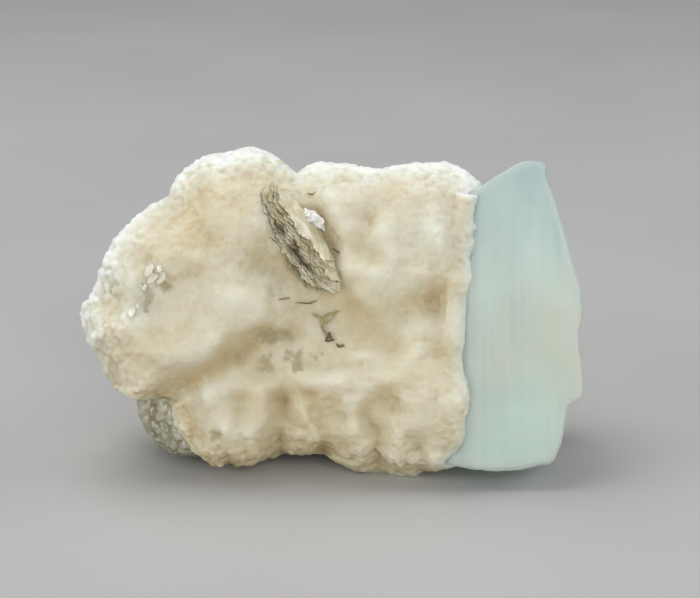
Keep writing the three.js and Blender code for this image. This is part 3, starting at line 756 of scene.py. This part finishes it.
# painted shade: tan down in the fine crevices
col = n.mix(n.math("MULTIPLY", n.math("MULTIPLY_ADD", fineup, -9.0, -0.15, clamp=True), 0.16), col, srgb(196, 176, 134))
col = n.mix(n.ramp(fine, [(0.55, 0.0), (0.8, 0.25)]), col, srgb(248, 246, 238))
grain_fac = n.attribute("grain").outputs["Fac"]
col = n.mix(n.math("MULTIPLY", grain_fac, n.math("MULTIPLY_ADD", mid, 0.8, 0.3), clamp=True), col, srgb(160, 145, 106))
grain = n.cells(0.55)
grain2 = n.cells(0.28)
h = n.math("ADD", n.math("MULTIPLY", grain.outputs["Distance"], 0.9), n.math("MULTIPLY", grain2.outputs["Distance"], 0.45))
h = n.math("ADD", h, n.math("MULTIPLY", fine, 0.8))
bump = n.bump(h, 0.10, 0.6)
glint = n.ramp(n.cells(0.42).outputs["Color"], [(0.5, 0.62), (0.9, 0.62), (0.97, 0.22)])
n.set(Base_Color=col, Roughness=glint, Normal=bump, Subsurface_Weight=0.7, Subsurface_Scale=0.001, IOR=1.53)
n.bsdf.inputs["Subsurface Radius"].default_value = (2.0, 1.35, 0.75)
n.bsdf.subsurface_method = "RANDOM_WALK"
matrix.data.materials.append(n.mat)

# ------------------------------------------------------------------ aquamarine
step = 0.24
bp, bq = surface_net(beryl_distance, (8.0, -19.0, -8.0), (29.5, 18.5, 7.0), step)
bp = settle(bp, beryl_distance, step, 2)
crystal = mesh_object("aquamarine", world(bp), bq)
print("crystal quads", len(bq))
decimate_to(crystal, 190000)
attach(crystal, "root")
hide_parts("aquamarine_crystal")
edge_up, = relief_of(crystal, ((8,)))
put_attribute(crystal, "edge_up", edge_up)
print("edges", np.percentile(edge_up, (2, 50, 90, 98, 99.8)).round(3))

n = Nodes("aquamarine_milky")
sep = n.tree.nodes.new("ShaderNodeSeparateXYZ")
n.link(n.coord, sep.inputs[0])
height = n.math("MULTIPLY", sep.outputs["Z"], 1 / 0.034)
height = n.math("ADD", height, n.math("MULTIPLY_ADD", n.noise(9.0, 2.0), 0.3, -0.15))
tint = n.ramp(height, [(0.05, srgb(222, 245, 229)), (0.26, srgb(222, 243, 228)), (0.42, srgb(232, 241, 225)), (0.6, srgb(225, 240, 229)), (0.82, srgb(206, 230, 225)), (1.0, srgb(196, 219, 218))])
side = n.math("MULTIPLY_ADD", sep.outputs["X"], 1 / 0.0052, -(21.8 + SHIFT[0]) / 5.2, clamp=True)
side = n.math("MULTIPLY", side, n.ramp(height, [(0.12, 0.2), (0.26, 0.75), (0.5, 0.55), (0.62, 0.0)]))
tint = n.mix(side, tint, srgb(236, 233, 205))
# painted light: paler towards the left edge, against the shade cast by the rock's collar
left_painted_light = n.math("MULTIPLY_ADD", sep.outputs["X"], -1 / 0.0034, (17.2 + SHIFT[0]) / 3.4, clamp=True)
tint = n.mix(n.math("MULTIPLY", left_painted_light, 0.6), tint, srgb(226, 253, 240))
band = n.noise(2.6, 2.0, 0.5, vector=n.mapping(scale=(1, 1, 0.12), rotation=(LEAN, 0, 0)))
tint = n.mix(n.ramp(band, [(0.42, 0.0), (0.62, 0.45)]), tint, srgb(230, 242, 234))
veil = n.noise(3.4, 4.0, 0.62)
tint = n.mix(n.ramp(veil, [(0.5, 0.0), (0.72, 0.5)]), tint, srgb(234, 244, 236))
# painted highlight: whiter along the convex edges
rim = n.ramp(n.math("MULTIPLY", n.attribute("edge_up").outputs["Fac"], 9.0), [(0.2, 0.0), (0.8, 0.35)])
tint = n.mix(rim, tint, srgb(232, 247, 245))
stri = n.noise(0.5, 2.0, 0.5, vector=n.mapping(scale=(1, 1, 0.04), rotation=(LEAN, 0, 0)))
b1 = n.bump(stri, 0.015, 0.4)
b2 = n.bump(n.noise(1.6, 3.0, 0.6), 0.05, 0.4, normal=b1)
n.set(Base_Color=tint, Roughness=n.ramp(veil, [(0.35, 0.30), (0.7, 0.42)]), Normal=b2, Transmission_Weight=0.42, IOR=1.577, Subsurface_Weight=1.0, Subsurface_Scale=0.001)
n.bsdf.inputs["Subsurface Radius"].default_value = (2.2, 2.6, 2.5)
inside = n.tree.nodes.new("ShaderNodeVolumeAbsorption")
inside.inputs["Color"].default_value = (0.62, 0.90, 0.90, 1.0)
inside.inputs["Density"].default_value = 19.0
n.link(inside.outputs[0], n.out.inputs["Volume"])
crystal.data.materials.append(n.mat)


# ------------------------------------------------------------------ thin bodies
class Batch:
    """Points and faces of many thin closed bodies, joined as one mesh."""

    def __init__(self):
        self.points, self.faces, self.kinds, self.count = [], [], [], 0

    def add(self, points, faces, kinds):
        self.points.append(np.asarray(points, float).reshape(-1, 3))
        self.faces += [[i + self.count for i in f] for f in faces]
        self.kinds += list(kinds)
        self.count += len(self.points[-1])

    def plate(self, top, under):
        """Closed plate between two grids of points: the broad faces and the far edge are kind 0, the other edges kind 1."""
        ni, nj = top.shape[:2]
        at = lambda i, j, k: k * ni * nj + i * nj + j
        faces, kinds = [], []
        for i in range(ni - 1):
            for j in range(nj - 1):
                faces.append([at(i, j, 0), at(i + 1, j, 0), at(i + 1, j + 1, 0), at(i, j + 1, 0)])
                faces.append([at(i, j, 1), at(i, j + 1, 1), at(i + 1, j + 1, 1), at(i + 1, j, 1)])
                kinds += [0, 0]
        for i in range(ni - 1):
            faces.append([at(i, 0, 0), at(i, 0, 1), at(i + 1, 0, 1), at(i + 1, 0, 0)])
            faces.append([at(i, nj - 1, 0), at(i + 1, nj - 1, 0), at(i + 1, nj - 1, 1), at(i, nj - 1, 1)])
            kinds += [1, 0]
        for j in range(nj - 1):
            faces.append([at(0, j, 0), at(0, j + 1, 0), at(0, j + 1, 1), at(0, j, 1)])
            faces.append([at(ni - 1, j, 0), at(ni - 1, j, 1), at(ni - 1, j + 1, 1), at(ni - 1, j + 1, 0)])
            kinds += [1, 1]
        self.add(np.concatenate([top.reshape(-1, 3), under.reshape(-1, 3)]), faces, kinds)

    def flake(self, outline, lift, thick, seed, tilt=(0.0, 0.0), curl=0.0, rings=4, spacing=0.09, rag=0.045, crumple=0.0):
        """Thin ragged flake lying on the rock, from its outline in (u, v)."""
        out = np.array(outline, float)
        area = 0.5 * np.sum(out[:, 0] * np.roll(out[:, 1], -1) - np.roll(out[:, 0], -1) * out[:, 1])
        if area < 0:
            out = out[::-1]
        ring = []
        for p, q in zip(out, np.roll(out, -1, 0)):
            m = max(1, int(np.linalg.norm(q - p) / spacing))
            ring += [p + (q - p) * k / m for k in range(m)]
        ring = np.array(ring)
        ring = ring + np.stack([noise(np.c_[ring / 0.22, np.full(len(ring), seed + 0.5)], 81), noise(np.c_[ring / 0.22, np.full(len(ring), seed + 9.5)], 82)], -1) * rag
        mid_pt = ring.mean(0)
        layers = [mid_pt[None]] + [mid_pt + (ring - mid_pt) * k / rings for k in range(1, rings + 1)]
        uv = np.concatenate(layers)
        w = rock_top(uv[:, 0], uv[:, 1]) + lift
        d = uv - mid_pt
        if crumple:
            f1, f2 = cells(np.c_[uv / 0.42, np.full(len(uv), seed * 2.7)], 86)
            w = w.mean() + 0.35 * (w - w.mean()) + crumple * (f1 - 0.45)
        w = w + d[:, 0] * tilt[0] + d[:, 1] * tilt[1] + curl * (d ** 2).sum(-1) + 0.05 * noise(np.c_[uv / 0.5, np.full(len(uv), seed * 1.3)], 83)
        m = len(ring)
        total = len(uv)
        topside = np.c_[uv, w + thick / 2]
        underside = np.c_[uv, w - thick / 2]
        faces, kinds = [], []
        for i in range(m):
            j = (i + 1) % m
            faces.append([0, 1 + i, 1 + j])
            faces.append([total, total + 1 + j, total + 1 + i])
            kinds += [0, 0]
            for r in range(rings - 1):
                a0, a1 = 1 + r * m + i, 1 + r * m + j
                b0, b1_ = 1 + (r + 1) * m + i, 1 + (r + 1) * m + j
                faces.append([a0, b0, b1_, a1])
                faces.append([total + a0, total + a1, total + b1_, total + b0])
                kinds += [0, 0]
            o0, o1 = 1 + (rings - 1) * m + i, 1 + (rings - 1) * m + j
            faces.append([o0, total + o0, total + o1, o1])
            kinds.append(1)
        self.add(np.concatenate([topside, underside]), faces, kinds)

    def blade(self, run, width, thick, lift, seed, tilt=0.0, across=5):
        """Narrow tapering strip along a run of (u, v) points on the rock."""
        run = np.array(run, float)
        seg = np.r_[0, np.cumsum(np.linalg.norm(np.diff(run, axis=0), axis=1))]
        m = max(8, int(seg[-1] / 0.08))
        s = np.linspace(0, seg[-1], m)
        c = np.stack([np.interp(s, seg, run[:, k]) for k in (0, 1)], -1)
        for _ in range(4):
            c[1:-1] = (c[:-2] + 2 * c[1:-1] + c[2:]) / 4
        t = np.gradient(c, axis=0)
        t /= np.linalg.norm(t, axis=1, keepdims=True)
        side = np.stack([-t[:, 1], t[:, 0]], -1)
        x = s / seg[-1]
        half = width / 2 * np.clip(np.minimum(x, 1 - x) * 5 + 0.12, 0, 1) * (1 + 0.45 * noise(np.c_[s / 0.35, np.full(m, seed), np.zeros(m)], 84))
        k = np.linspace(-1, 1, across)
        uv = c[:, None] + side[:, None] * (half[:, None] * k)[..., None]
        ground = rock_top(c[:, 0], c[:, 1])
        w = ground[:, None] + lift + tilt * half[:, None] * k + 0.03 * noise(np.c_[s / 0.5, np.full(m, seed + 4.0), np.zeros(m)], 85)[:, None]
        top = np.concatenate([uv, (w + thick / 2)[..., None]], -1)
        under = np.concatenate([uv, (w - thick / 2)[..., None]], -1)
        self.plate(top, under)

    def build(self, name, materials, smooth=True):
        pts = world(np.concatenate(self.points))
        me = bpy.data.meshes.new(name)
        me.from_pydata([tuple(p) for p in pts], [], self.faces)
        me.validate()
        me.update()
        if len(me.polygons) == len(self.kinds):
            me.polygons.foreach_set("material_index", np.array(self.kinds, np.int32))
        me.polygons.foreach_set("use_smooth", np.array([smooth and k == 0 for k in self.kinds]))
        ob = bpy.data.objects.new(name, me)
        scene.collection.objects.link(ob)
        for m in materials:
            me.materials.append(m)
        print(name, "faces", len(me.polygons), "triangles", sum(len(p.vertices) - 2 for p in me.polygons))
        return ob


def mica_face(name, dark, pale, rough=0.26, scale=1.0):
    n = Nodes(name)
    cloud = n.noise(1.6 * scale, 4.0, 0.6)
    speck = n.noise(0.35 * scale, 3.0, 0.6)
    col = n.ramp(cloud, [(0.36, dark), (0.52, tuple((a + b) / 2 for a, b in zip(dark, pale))), (0.64, pale)])
    col = n.mix(n.ramp(speck, [(0.56, 0.0), (0.72, 0.5)]), col, srgb(236, 232, 216))
    # painted shade in the gaps and cracks between plates, from the shade attribute
    col = n.mix(n.math("MULTIPLY", n.attribute("shade").outputs["Fac"], 0.85, clamp=True), col, srgb(84, 66, 24))
    crease = n.bump(cloud, 0.05, 0.5)
    crease = n.bump(speck, 0.02, 0.5, normal=crease)
    n.set(Base_Color=col, Roughness=n.ramp(speck, [(0.3, rough + 0.12), (0.7, rough - 0.06)]), Normal=crease, Coat_Weight=0.15, IOR=1.6)
    n.bsdf.inputs["Coat Roughness"].default_value = 0.12
    n.bsdf.inputs["Specular IOR Level"].default_value = 0.45
    return n.mat


def mica_rim(name, dark, pale):
    n = Nodes(name)
    line = n.noise(0.16, 2.0, 0.6)
    patch = n.noise(1.1, 3.0, 0.6)
    # dark lines and patches along the plate edges: the edges' own olive-brown, darkened further as painted shadow
    # between the plates
    col = n.mix(n.ramp(line, [(0.4, 0.0), (0.6, 1.0)]), dark, pale)
    col = n.mix(n.ramp(patch, [(0.42, 0.0), (0.62, 0.8)]), col, dark)
    # painted shade in the gaps and cracks between plates, from the shade attribute
    col = n.mix(n.math("MULTIPLY", n.attribute("shade").outputs["Fac"], 0.95, clamp=True), col, srgb(44, 36, 16))
    n.set(Base_Color=col, Roughness=0.42, Normal=n.bump(line, 0.02, 0.5), IOR=1.6)
    return n.mat


# ------------------------------------------------------------------ what is sealed in the crystal
def spot(batch, at, axis, other, long, wide, thick, turn=0.0):
    """Small thin oval body, closed, at a face point, spanned by two directions."""
    m, rings = 10, 2
    a, b = np.array(axis, float), np.array(other, float)
    a /= np.linalg.norm(a)
    b -= a * (a @ b)
    b /= np.linalg.norm(b)
    nrm = np.cross(a, b)
    pts = []
    for side in (1, -1):
        pts.append(np.array(at) + nrm * side * thick / 2)
        for r in range(1, rings + 1):
            for q in range(m):
                t = 2 * math.pi * q / m
                k = r / rings * (1 + 0.18 * math.sin(3 * t + turn) + 0.10 * math.sin(5 * t + 2 * turn))
                lens = side * thick / 2 * math.sqrt(max(0.05, 1 - (r / rings) ** 2))
                pts.append(np.array(at) + a * long / 2 * k * math.cos(t) + b * wide / 2 * k * math.sin(t) + nrm * lens)
    n0 = 1 + rings * m
    faces = []
    for q in range(m):
        p = (q + 1) % m
        faces += [[0, 1 + q, 1 + p], [n0, n0 + 1 + p, n0 + 1 + q]]
        faces += [[1 + q, 1 + m + q, 1 + m + p, 1 + p], [n0 + 1 + q, n0 + 1 + p, n0 + 1 + m + p, n0 + 1 + m + q]]
        faces.append([1 + m + q, n0 + 1 + m + q, n0 + 1 + m + p, 1 + m + p])
    batch.add(pts, faces, [0] * len(faces))


veils = Batch()
for i, (mu, mv, mw, wide, tall, tilt_u, tilt_v) in enumerate([
        (19.4, 4.6, 3.6, 8.0, 4.5, 0.16, 0.35), (21.8, -5.6, 3.3, 5.5, 6.5, -0.10, -0.25), (17.2, -10.2, 3.4, 6.0, 3.6, 0.10, 0.42), (20.6, 11.0, 3.4, 4.0, 4.0, 0.2, -0.2)]):
    for j in range(46):
        h = [(int(lattice(np.array([i]), np.array([j]), np.array([k]), 27)[0]) & 0xFFFF) / 65535.0 for k in range(6)]
        du, dv = (h[0] - 0.5) * wide, (h[1] - 0.5) * tall
        if (2 * du / wide) ** 2 + (2 * dv / tall) ** 2 > 1:
            continue
        dw = du * tilt_u + dv * tilt_v + 0.5 * math.sin(du * 0.9) + 0.35 * math.sin(dv * 1.4 + i)
        at = (mu + du, mv + dv, min(mw + dw - 1.3, 3.6))
        if beryl_distance(np.array([at]), False)[0] > -0.35:
            continue
        spot(veils, at, (1, 0.3 * (h[2] - 0.5), tilt_u), (0.2 * (h[3] - 0.5), 1, tilt_v), 0.10 + 0.34 * h[4] ** 2, 0.08 + 0.16 * h[5] ** 2, 0.04, h[2] * 6)
# the few that stand out close under the front face
for i, (u, v, long, wide, run) in enumerate([(19.9, 3.8, 0.42, 0.22, 0.3), (14.9, 5.5, 0.55, 0.3, 0.2), (24.0, -1.0, 0.95, 0.16, 0.08), (18.3, 9.6, 0.22, 0.14, 0.8),
                                             (22.6, 6.4, 0.2, 0.12, -0.5), (17.0, -2.0, 0.2, 0.13, 0.9), (21.4, -9.4, 0.24, 0.16, 0.2), (19.0, -14.0, 0.3, 0.16, -0.3)]):
    spot(veils, (u, v, 5.18), (math.cos(run), math.sin(run), 0), (-math.sin(run), math.cos(run), 0.1), long, wide, 0.07, i)
n = Nodes("fluid_veil")
n.set(Base_Color=n.ramp(n.noise(0.8, 2.0), [(0.4, srgb(232, 240, 236)), (0.6, srgb(250, 252, 250))]), Roughness=0.4)
veil_ob = veils.build("beryl_veils", [n.mat])
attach(veil_ob, "root")
dots = Batch()
for i, (u, v, long, wide, w) in enumerate([(16.7, -4.3, 0.22, 0.16, 5.2), (20.9, -6.2, 0.14, 0.10, 4.9), (18.1, 1.0, 0.12, 0.10, 4.8), (23.0, 2.2, 0.13, 0.09, 4.9), (15.6, 0.6, 0.12, 0.09, 4.9)]):
    spot(dots, (u, v, w), (1, 0.2, 0), (0, 1, 0.1), long, wide, 0.08, i)
n = Nodes("mineral_speck")
n.set(Base_Color=n.ramp(n.noise(0.3, 2.0), [(0.4, srgb(96, 92, 70)), (0.6, srgb(138, 132, 104))]), Roughness=0.5)
dot_ob = dots.build("beryl_specks", [n.mat])
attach(dot_ob, "root")

# ------------------------------------------------------------------ the mica book
BOOK_MID, BOOK_RUN, BOOK_TIP = np.array([-3.3, 8.4, 6.8]), math.radians(-52), math.radians(50)
ba = np.array([math.cos(BOOK_RUN), math.sin(BOOK_RUN), 0.0])
bs = np.array([-math.sin(BOOK_RUN), math.cos(BOOK_RUN), 0.0])
bn = bs * math.cos(BOOK_TIP) + np.array([0, 0, math.sin(BOOK_TIP)])
bb = np.cross(bn, ba)
FAR_SIDE = ([-6.8, -6.4, -5.4, -3.9, -2.9, -0.1, 2.4, 4.6, 6.0, 7.2], [0.3, 2.0, 3.7, 5.2, 5.6, 5.6, 4.9, 4.0, 3.2, 1.8])
PLATES = 24
book = Batch()
ni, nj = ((96, 18))
for i in range(PLATES):
    f = i / (PLATES - 1)
    h = -1.5 + 2.8 * f
    r = lambda k: (int(lattice(np.array([i]), np.array([k]), np.array([3]), 7)[0]) & 0xFFFF) / 65535.0
    a0 = -6.45 + 0.45 * r(1) + 0.5 * abs(f - 0.4)
    a1 = 7.4 - 2.6 * r(2) - 2.0 * max(0.0, f - 0.5)
    s = np.linspace(0, 1, ni)
    al = a0 + (a1 - a0) * s
    far = np.interp(al, *FAR_SIDE) * (1.0 if f < 0.35 else 0.9 if f < 0.58 else 0.74 if f < 0.8 else 0.56) - 0.25 * r(4)
    far = far + 0.30 * noise(np.c_[al / 1.4, np.full(ni, i * 0.31), np.zeros(ni)], 91) + 0.10 * noise(np.c_[al / 0.4, np.full(ni, i * 1.7), np.zeros(ni)], 92)
    b1c = (far - (h + 1.45) * 0.643) / 0.766 - 1.9
    b0c = -2.35 + 1.25 * f + 0.6 * (r(5) - 0.5) + 0.62 * noise(np.c_[al / 1.3, np.full(ni, i * 0.33), np.zeros(ni)], 93) + 0.30 * noise(np.c_[al / 0.42, np.full(ni, i * 2.3), np.zeros(ni)], 94)
    ends = np.clip(np.minimum(s * 6, (1 - s) * 9), 0, 1) ** 0.5
    b0c = b0c + (1 - ends) * (1.9 - 0.7 * s)
    b1c = np.maximum(b1c, b0c + 0.05)
    t = np.linspace(0, 1, nj) ** 1.15
    B = b0c[:, None] + (b1c - b0c)[:, None] * t
    A = np.repeat(al[:, None], nj, 1)
    Z = np.zeros_like(A)
    wave = 0.26 * noise(np.stack([A / 3.4, B / 2.4, Z], -1), 95) + 0.12 * noise(np.stack([A / 1.1, B / 1.3, Z + f * 0.8], -1), 96)
    own = 0.05 * noise(np.stack([A / 1.0, B / 0.8, Z + i * 3.1], -1), 97) + 0.2 * np.clip(1 - (B - b0c[:, None]) / 1.1, 0, 1) ** 2 * noise(np.stack([A / 0.8, B / 2.0, Z + i * 5.3], -1), 98)
    H = h + wave + own + 0.10 * noise(np.stack([A / 1.6, Z, Z + i * 0.7], -1), 99)
    thick = 0.085 + 0.03 * r(6)
    P = BOOK_MID + A[..., None] * ba + B[..., None] * bb + H[..., None] * bn
    book.plate(P + bn * thick / 2, P - bn * thick / 2)

# crumpled flakes at the upper right end of the top plates, near white as a painted glint, and loose slivers
face_mat = mica_face("mica_cleavage", srgb(198, 188, 150), srgb(232, 227, 204))
rim_mat = mica_rim("mica_edges", srgb(62, 46, 12), srgb(214, 200, 142))
mica_book = book.build("muscovite_book", [face_mat, rim_mat])
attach(mica_book, "root")
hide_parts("mica_book")
# painted shade: darker olive where the plate edges part and crack: centre (u, v), half length, half width, strength
bp3 = face_points(mica_book)
shade = np.zeros(len(bp3))
bw = bp3[:, :2] + np.stack([noise(bp3 / 0.7, 75), noise(bp3 / 0.7, 76)], -1) * 0.35 + np.stack([noise(bp3 / 0.25, 77), noise(bp3 / 0.25, 78)], -1) * 0.16
for su, sv, long, wide, turn, k in [(-3.5, 5.75, 1.9, 0.42, -50, 1.0), (-5.7, 8.9, 1.0, 0.40, -58, 0.85), (-7.4, 9.3, 1.1, 0.26, -62, 0.8), (-8.2, 11.0, 1.2, 0.22, -84, 0.8),
                                    (-4.1, 4.6, 1.2, 0.28, -50, 0.85), (-4.3, 7.3, 0.9, 0.22, -48, 0.7), (-6.6, 8.0, 1.1, 0.24, -56, 0.7), (-6.9, 10.9, 0.8, 0.16, -70, 0.6), (-2.2, 4.2, 0.9, 0.2, -44, 0.7)]:
    cs, sn = math.cos(math.radians(turn)), math.sin(math.radians(turn))
    x, y = bw[:, 0] - su, bw[:, 1] - sv
    q = np.hypot((cs * x + sn * y) / long, (-sn * x + cs * y) / wide)
    shade = np.maximum(shade, k * np.clip((1.3 - q) / 0.6, 0, 1))
put_attribute(mica_book, "shade", shade)

bits = Batch()
for k, (cu, cv, size, lift) in enumerate([(-2.35, 10.25, 0.95, 0.95), (-1.75, 9.6, 0.75, 0.9), (-2.9, 10.6, 0.6, 0.95), (-1.35, 9.1, 0.5, 0.8), (-2.1, 9.3, 0.45, 0.85)]):
    r = lambda j: (int(lattice(np.array([k]), np.array([j]), np.array([5]), 17)[0]) & 0xFFFF) / 65535.0
    m = 9
    ang = (np.arange(m) + 0.7 * np.array([r(10 + q) for q in range(m)])) / m * 2 * math.pi
    rad = size * (0.55 + 0.55 * np.array([r(20 + q) for q in range(m)]))
    x, y = rad * np.cos(ang) * 1.15, rad * np.sin(ang) * 0.8
    ol = np.c_[cu + x * 0.74 + y * 0.67, cv - x * 0.67 + y * 0.74]
    bits.flake(ol, lift, 0.04, 100 + k, tilt=(0.16 + 0.2 * (r(5) - 0.5), -0.55 + 0.3 * (r(6) - 0.5)), rings=6, spacing=0.08, rag=0.09, crumple=0.16)
# painted highlight: the near-white colour stands in for the glint off these flakes
glint_mat = mica_face("mica_glint_white", srgb(244, 243, 238), srgb(253, 253, 251), rough=0.2, scale=0.5)
bright = bits.build("mica_glint_flakes", [glint_mat, glint_mat])
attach(bright, "root")

hair = Batch()
for k, (run, width) in enumerate([
        ([(-5.9, 1.42), (-5.3, 1.55), (-4.63, 1.63)], 0.20), ([(-4.15, 1.12), (-3.3, 1.08), (-2.6, 1.05), (-1.75, 1.4)], 0.16),
        ([(-3.3, 4.1), (-3.1, 3.2), (-3.0, 2.55)], 0.17), ([(-1.6, 2.6), (-1.0, 3.25), (0.0, 3.3), (0.4, 2.9)], 0.2),
        ([(-2.2, 3.9), (-1.9, 2.9), (-1.85, 2.3)], 0.15), ([(-0.3, 6.9), (0.55, 6.3)], 0.2), ([(-4.1, 4.9), (-3.5, 3.9), (-3.3, 3.3)], 0.16),
        ([(-2.6, 4.4), (-2.2, 3.6), (-1.5, 3.2)], 0.16), ([(-2.9, 12.7), (-2.2, 12.5), (-2.0, 12.9)], 0.16)]):
    hair.blade(run, width, 0.07, 0.05, 3.0 + k, tilt=0.5)
hair_ob = hair.build("mica_slivers", [mica_rim("mica_sliver_face", srgb(112, 98, 62), srgb(186, 172, 134)), rim_mat])
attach(hair_ob, "root")

# ------------------------------------------------------------------ the left flakes
left = Batch()
for k, (ol, lift, tilt, curl) in enumerate([
        ([(-20.0, 4.0), (-19.66, 4.86), (-19.1, 5.29), (-18.85, 4.86), (-19.15, 4.1), (-19.7, 3.67)], 0.16, (0.22, -0.35), 0.05),
        ([(-19.15, 4.64), (-18.47, 4.7), (-18.2, 4.1), (-18.9, 3.24), (-19.55, 3.1), (-19.5, 3.89)], 0.10, (-0.25, -0.45), 0.08),
        ([(-18.25, 4.6), (-17.65, 4.25), (-17.55, 3.67), (-18.36, 2.95), (-18.75, 3.24), (-18.14, 3.89)], 0.20, (0.35, -0.4), 0.0),
        ([(-18.6, 4.95), (-18.1, 5.05), (-17.9, 4.5), (-18.4, 4.2)], 0.26, (0.1, -0.7), 0.0),
        ([(-21.6, 0.86), (-21.1, 1.08), (-20.75, 0.54), (-20.95, -0.32), (-21.5, -0.54), (-21.7, 0.2)], 0.08, (0.15, -0.4), 0.1),
        ([(-20.9, 1.2), (-20.4, 1.1), (-20.45, 0.5), (-20.8, 0.6)], 0.12, (0.3, -0.6), 0.0),
        ([(-20.4, 2.9), (-19.9, 3.3), (-19.6, 2.9), (-19.9, 2.3)], 0.08, (0.0, -0.5), 0.0)]):
    left.flake(ol, lift, 0.06, 200 + k, tilt=tilt, curl=curl, rag=0.08)
leaf_mat = mica_face("mica_pale_leaf", srgb(220, 215, 192), srgb(243, 240, 225), rough=0.32, scale=0.6)
left_ob = left.build("muscovite_flakes_left", [leaf_mat, leaf_mat])
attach(left_ob, "root")
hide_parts("mica_flake_left")

# a darker mica sliver along the slit below the left flakes: its darkness is painted shade of the slit
left_dark = Batch()
left_dark.blade([(-20.2, 3.2), (-19.75, 2.5), (-19.5, 1.6), (-19.55, 0.8), (-19.95, 0.25)], 0.55, 0.07, 0.03, 31.0, tilt=-0.5)
left_dark.blade([(-19.5, 2.9), (-19.25, 2.0), (-19.3, 1.1)], 0.24, 0.06, 0.06, 32.0, tilt=0.5)
left_dark.blade([(-20.1, 0.3), (-19.7, 0.1), (-19.5, 0.35)], 0.2, 0.06, 0.05, 33.0, tilt=0.3)
dark_leaf = mica_face("mica_slit_shade_leaf", srgb(176, 169, 136), srgb(210, 204, 174), rough=0.34, scale=0.5)
left_dark_ob = left_dark.build("mica_slit_shade_sliver_left", [dark_leaf, rim_mat])
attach(left_dark_ob, "root")

# ------------------------------------------------------------------ the centre flakes
centre = Batch()
for k, (ol, lift, tilt) in enumerate([
        ([(-2.4, 0.05), (-1.94, -0.12), (-1.4, -0.34), (-1.08, -0.65), (-1.51, -0.72), (-1.96, -0.45)], 0.06, (0.0, 0.2)),
        ([(-1.45, -0.5), (-0.76, 0.03), (-0.22, 0.13), (0.5, 0.26), (0.11, -0.11), (-0.22, -0.43), (-0.54, -0.86), (-1.08, -1.3), (-1.42, -1.51), (-1.53, -0.97)], 0.09, (0.12, -0.15)),
        ([(-1.51, -1.3), (-1.19, -1.28), (-0.86, -1.94), (-0.62, -2.3), (-0.97, -2.3), (-1.3, -1.84)], 0.06, (0.25, 0.0))]):
    centre.flake(ol, lift, 0.10, 300 + k, tilt=tilt)
olive = mica_face("mica_olive", srgb(145, 130, 80), srgb(184, 169, 118), rough=0.36, scale=0.5)
centre_ob = centre.build("olive_flakes_centre", [olive, rim_mat])
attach(centre_ob, "root")
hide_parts("mica_flake_centre")
brown = Batch()
for k, (ol, lift, tilt) in enumerate([
        ([(-0.8, -2.03), (-0.4, -2.0), (-0.3, -2.48), (0.02, -2.81), (-0.43, -2.94), (-0.65, -3.04), (-1.1, -2.94), (-0.88, -2.48)], 0.10, (0.2, 0.15)),
        ([(0.08, -3.1), (0.3, -3.33), (0.86, -3.22), (1.1, -3.46), (0.65, -3.6), (0.3, -3.58)], 0.09, (0.0, 0.3))]):
    brown.flake(ol, lift, 0.10, 330 + k, tilt=tilt)
brown_mat = mica_face("mica_brown", srgb(72, 58, 30), srgb(118, 102, 62), rough=0.36, scale=0.5)
brown_ob = brown.build("brown_flakes_centre", [brown_mat, brown_mat])
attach(brown_ob, "root")

# ------------------------------------------------------------------ the quartz chunk
QUARTZ = [(-17.6, -11.2, -2.6, 3.5, 4.8, 4.5, 38), (-18.6, -9.6, -1.2, 2.0, 2.6, 3.0, 20), (-15.6, -13.4, -1.4, 2.4, 1.9, 3.2, 10), (-17.0, -11.6, 0.2, 1.8, 3.2, 2.6, 42)]


def quartz_distance(P, fine=True):
    Q = P.copy()
    for k in range(3):
        Q[..., k] += 0.35 * noise(P / 2.2, 111 + k)
    d = blend([lobe_distance(Q, l) for l in QUARTZ], 0.5)
    if fine:
        f1, f2 = cells(P / 1.5, 115)
        g1, g2 = cells(P / 0.7, 117)
        d = d + 0.45 * (0.5 - np.clip(f2 - f1, 0, 0.5)) * 0.7 + 0.11 * (g1 - 0.45) + 0.06 * noise(P / 0.4, 119)
    below = -(P[..., 1] * CL + P[..., 2] * SL - FLOOR - 0.15)
    d = np.maximum(d, below)
    return np.maximum(d, 0.02 - rock_distance(P, fine))


step = 0.17
qp, qq = surface_net(quartz_distance, (-24.0, -18.5, -9.5), (-10.5, -4.0, 5.0), step)
qp = settle(qp, quartz_distance, step, 1)
quartz = mesh_object("smoky_quartz", world(qp), qq)
print("quartz quads", len(qq))
decimate_to(quartz, 90000)
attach(quartz, "root")
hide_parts("quartz_chunk")
q_up, = relief_of(quartz, (8,))
put_attribute(quartz, "edge_up", q_up)
n = Nodes("quartz_smoky")
cloud = n.noise(1.8, 4.0, 0.6)
col = n.ramp(cloud, [(0.36, srgb(150, 142, 110)), (0.52, srgb(184, 179, 150)), (0.66, srgb(214, 212, 190))])
# painted highlight: paler on the convex edges
edge = n.ramp(n.math("MULTIPLY", n.attribute("edge_up").outputs["Fac"], 9.0), [(0.1, 0.0), (0.7, 0.8)])
col = n.mix(edge, col, srgb(232, 232, 214))
bump = n.bump(n.noise(0.3, 3.0, 0.6), 0.04, 0.5)
n.set(Base_Color=col, Roughness=n.ramp(cloud, [(0.4, 0.18), (0.6, 0.4)]), Normal=bump, Transmission_Weight=0.25, Subsurface_Weight=0.6, Subsurface_Scale=0.001, IOR=1.544)
n.bsdf.inputs["Subsurface Radius"].default_value = (1.4, 1.3, 0.9)
quartz.data.materials.append(n.mat)
